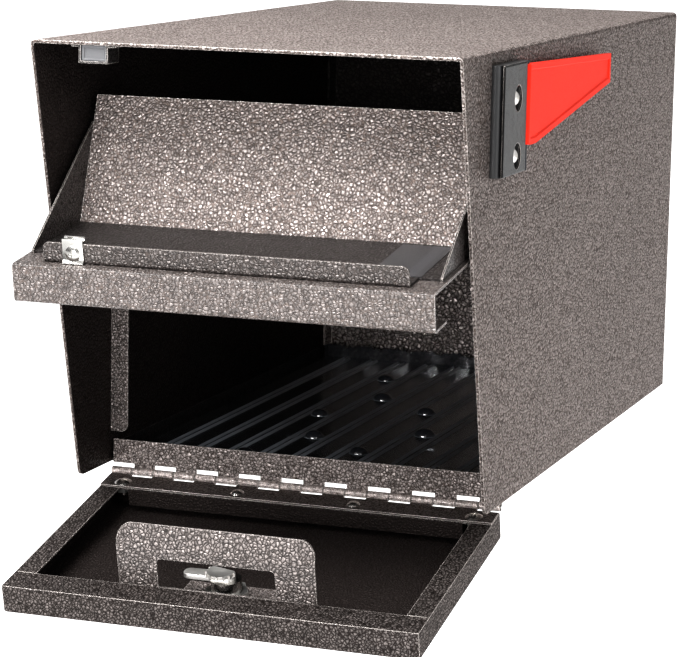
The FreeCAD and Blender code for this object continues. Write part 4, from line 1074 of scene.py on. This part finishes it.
# %% Liner mat
LINER_LOW, LINER_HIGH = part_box("clear_liner")
RIDGE_PITCH = 22.5 * MM
RIDGE_GAP = 5.0 * MM
RIDGE_RISE = 1.6 * MM
FILM = 0.8 * MM
COLUMN = 1.25 * MM
UPTURN = 9 * MM
SCALLOP_STEPS = 6
SCALLOP_WIDTH = 1.1 * RIDGE_PITCH
STEP_UP = 0.7 * MM
STEP_FORWARD = 0.45 * MM
HALF_RIDGE = 0.65 * MM
SIDE_GAP = 0.4 * MM
BACK_GAP = 3 * MM
MAT_TOP = LINER_LOW[2] + 1.4 * MM


def ridge_places():
    """The X places of the ridges, in pairs from left to right."""
    middle = (LINER_LOW[0] + LINER_HIGH[0]) / 2
    pairs = int((LINER_HIGH[0] - middle - RIDGE_PITCH / 2) / RIDGE_PITCH)
    return [middle + number * RIDGE_PITCH + side * RIDGE_GAP / 2
            for number in range(-pairs, pairs + 1) for side in (-1, 1)]


def liner_piece():
    width = LINER_HIGH[0] - LINER_LOW[0] - SIDE_GAP
    depth = LINER_HIGH[1] - LINER_LOW[1] - BACK_GAP
    middle_x = (LINER_LOW[0] + LINER_HIGH[0]) / 2
    middle_y = (LINER_LOW[1] + LINER_HIGH[1] - BACK_GAP) / 2
    columns = int(width / COLUMN)
    deselect()
    bpy.ops.mesh.primitive_grid_add(x_subdivisions=columns, y_subdivisions=8, size=1,
                                    location=(middle_x, middle_y, MAT_TOP))
    mat = bpy.context.object
    mat.name = "liner_mat"
    mat.scale = (width, depth, 1)
    bpy.ops.object.transform_apply(location=True, rotation=True, scale=True)
    ridges = ridge_places()
    back = middle_y + depth / 2
    pick(mat, vertices=lambda spot: any(abs(spot.x - ridge) < HALF_RIDGE for ridge in ridges))
    bpy.ops.transform.translate(value=(0, 0, RIDGE_RISE))
    leave_edit()
    pick(mat, edges=lambda spot, way: spot.y > back - 0.01 * MM)
    bpy.ops.mesh.extrude_region_move(TRANSFORM_OT_translate={"value": (0, 0, UPTURN)})
    leave_edit()
    top = MAT_TOP + UPTURN

    def in_crest(spot, level):
        return abs(math.sin(math.pi * (spot.x - middle_x) / SCALLOP_WIDTH)) < level

    for step in range(1, SCALLOP_STEPS):
        level = math.cos(step / SCALLOP_STEPS * math.pi / 2)
        pick(mat, vertices=lambda spot: spot.z > top - 0.5 * MM and spot.y > back - 1 * MM
             and in_crest(spot, level))
        bpy.ops.transform.translate(value=(0, 0, STEP_UP))
        leave_edit()
        pick(mat, vertices=lambda spot: spot.z > MAT_TOP + 3 * MM
             and in_crest(spot, level))
        bpy.ops.transform.translate(value=(0, -STEP_FORWARD, 0))
        leave_edit()
    apply_modifier(mat, "SOLIDIFY", thickness=FILM, offset=-1)
    finish(mat, liner_film_painted_shade, "housing", smooth=60)
    # The ridge faces take the pale finish: a painted reflection.
    mat.data.materials.append(ridge_painted_reflection)
    pick(mat, faces=lambda middle, normal: MAT_TOP + 0.2 * MM < middle.z < MAT_TOP + 2 * MM
         and middle.y < back - 3 * MM)
    mat.active_material_index = 1
    bpy.ops.object.material_slot_assign()
    leave_edit()
    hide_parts("clear_liner")


liner_piece()

# %% [markdown]
# The domes are blisters in the film. They can only rise on the flat strips between the
# ridges, so they take four of those strips in turn, one step further back each time. One is
# shaped from a flattened ball, cut just above its middle and given a wider foot, and is then
# copied, each copy with its own mesh and size.

# %% Liner domes
DOME_RADIUS = 6.6 * MM
DOME_RISE = 4.6 * MM
DOMES = 10
DOME_STRIPS = (-3, 0, -2, 1)
DOME_SIZES = (1.1, 0.95, 1.0)
FOOT_SHEET = 0.3 * MM
FOOT_SPREAD = 1.12


def dome_place(number):
    """The place of a dome, counted from 0: a strip in turn, and a step further back."""
    middle = (LINER_LOW[0] + LINER_HIGH[0]) / 2
    step = (LINER_HIGH[1] - LINER_LOW[1]) / (DOMES + 1)
    strip = DOME_STRIPS[number % len(DOME_STRIPS)]
    return middle + (strip + 0.5) * RIDGE_PITCH, LINER_LOW[1] + (number + 1) * step


def dome_master():
    deselect()
    bpy.ops.mesh.primitive_uv_sphere_add(segments=28, ring_count=18, radius=DOME_RADIUS,
                                         location=(0, 0, 0))
    dome = bpy.context.object
    dome.scale = (1, 1, DOME_RISE / DOME_RADIUS)
    bpy.ops.object.transform_apply(location=True, rotation=True, scale=True)
    slice_off(dome, (0, 0, 0.2 * MM), (0, 0, -1))
    pick(dome, faces=lambda middle, normal: normal.z < -0.9)
    bpy.ops.mesh.extrude_region_move(TRANSFORM_OT_translate={"value": (0, 0, -FOOT_SHEET)})
    bpy.ops.transform.resize(value=(FOOT_SPREAD, FOOT_SPREAD, 1))
    leave_edit()
    return dome


dome = dome_master()
for number in range(DOMES):
    x, y = dome_place(number)
    grown = DOME_SIZES[number % len(DOME_SIZES)]
    copy = bpy.data.objects.new(f"liner_dome_{number + 1}", dome.data.copy())
    bpy.context.scene.collection.objects.link(copy)
    shape = Matrix.Translation((x, y, MAT_TOP)) @ Matrix.Diagonal((grown, grown, grown, 1))
    finish(copy, dome_painted_shade, "housing", shape, 60)
    # The foot of each dome takes the pale ridge finish: a painted highlight round its outline.
    copy.data.materials.append(ridge_painted_reflection)
    pick(copy, faces=lambda middle, normal: middle.z < MAT_TOP + 0.25 * MM)
    copy.active_material_index = 1
    bpy.ops.object.material_slot_assign()
    leave_edit()
bpy.data.objects.remove(dome)

# %% [markdown]
# ## Mail clip
# A strip of polished spring steel is screwed to the front lip of the hopper. Its top is
# rolled back over the lip, and its foot flares out so that letters slip behind it. The
# strip is a thin block; its top edge is spun into the roll and its foot pulled forward.

# %% Mail clip
FOOT_FLARE = 1.4 * MM
FOOT_HEIGHT = 2.2 * MM
CLIP_SHEET = 0.8 * MM
ROLL_RADIUS = 2.2 * MM
ROLL_TURN = 205


def mail_clip_piece():
    low, high = local_box("mail_clip", HOPPER)
    front = low.y
    foot = low.z + FOOT_HEIGHT
    roll_start = high.z - ROLL_RADIUS
    clip = block("mail_clip_strip", (low.x, front, foot),
                 (high.x, front + CLIP_SHEET, roll_start))
    pick(clip, faces=lambda middle, normal: normal.z > 0.9)
    bpy.ops.mesh.spin(steps=14, angle=math.radians(-ROLL_TURN), axis=(1, 0, 0),
                      center=(0, front + ROLL_RADIUS, roll_start))
    leave_edit()
    pick(clip, faces=lambda middle, normal: normal.z < -0.9 and middle.z < foot + 0.1 * MM)
    bpy.ops.mesh.extrude_region_move(
        TRANSFORM_OT_translate={"value": (0, -FOOT_FLARE, low.z - foot)})
    leave_edit()
    round_edges(clip, 0.15 * MM, 2, lambda middle, way: abs(way.x) < 0.1
                and (middle.x < low.x + 0.01 * MM or middle.x > high.x - 0.01 * MM)
                and middle.z > foot)
    finish(clip, polished, "hopper", HOPPER, 40)
    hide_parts("mail_clip")


mail_clip_piece()

# %% [markdown]
# ## Cam of the lock
# Behind the lock sits a stack of two plates: a long finger that turns with the key to lock
# the door, and a toothed fan on top of it, of the kind that limits a turn. The finger is a
# block with a rounded tip. The fan is a thin disc whose rim faces are pulled out into
# teeth, and part of it is cut away.

# %% Lock cam
FAN_RADIUS = 8.5 * MM
FAN_SHEET = 2.2 * MM
FAN_SIDES = 40


def cam_pieces():
    low, high = local_box("lock_cam", DOOR)
    centre_z = (low.z + high.z) / 2
    half = (high.z - low.z) / 2
    under, middle = low.y - 0.5 * MM, low.y + 2.6 * MM
    finger = block("cam_finger", (low.x - 1 * MM, under, centre_z - 0.75 * half),
                   (high.x, middle, centre_z + 0.75 * half))
    round_edges(finger, 0.7 * half, 8, lambda spot, way: abs(way.y) > 0.9)
    round_edges(finger, 0.5 * MM, 3, lambda spot, way: spot.y > middle - 0.01 * MM)
    finish(finger, bright_head, "lock_cylinder", DOOR)
    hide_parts("lock_cam")
    fan = disc("cam_fan", FAN_RADIUS, FAN_SHEET, (-3 * MM, middle + FAN_SHEET / 2, centre_z),
               FAN_SIDES)
    step = math.radians(360 / FAN_SIDES)
    pick(fan, faces=lambda spot, normal: abs(normal.y) < 0.1
         and round(math.atan2(normal.z, normal.x) / step - 0.5) % 3 == 0)
    bpy.ops.mesh.extrude_faces_move(TRANSFORM_OT_shrink_fatten={"value": 1.1 * MM})
    leave_edit()
    slice_off(fan, (0, middle, centre_z - 3 * MM), (0.25, 0, -1))
    finish(fan, bright_head, "lock_cylinder", DOOR)


cam_pieces()

# %% [markdown]
# ## Bumper under the hood
# A soft block in the strap under the hood meets the hopper when it shuts. It is a block
# with rounded edges and a shallow panel pressed into its front.

# %% Bumper
BUMPER_RIM = 1.5 * MM
BUMPER_DEPTH = 1.0 * MM
BUMPER_ROUND = 0.6 * MM


def bumper_piece():
    low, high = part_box("hood_bumper")
    bumper = block("rubber_bumper", low, high)
    pick(bumper, faces=lambda middle, normal: normal.y < -0.9)
    bpy.ops.mesh.inset(thickness=BUMPER_RIM, depth=0)
    bpy.ops.mesh.inset(thickness=BUMPER_ROUND, depth=-BUMPER_DEPTH)
    leave_edit()
    round_edges(bumper, BUMPER_ROUND, 3, lambda middle, way: middle.y < low[1] + 0.01 * MM)
    finish(bumper, rubber, "housing")
    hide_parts("hood_bumper")


bumper_piece()

# %% [markdown]
# ## End
# The last cell only prints a closing line.

# %% Finish
print("done")
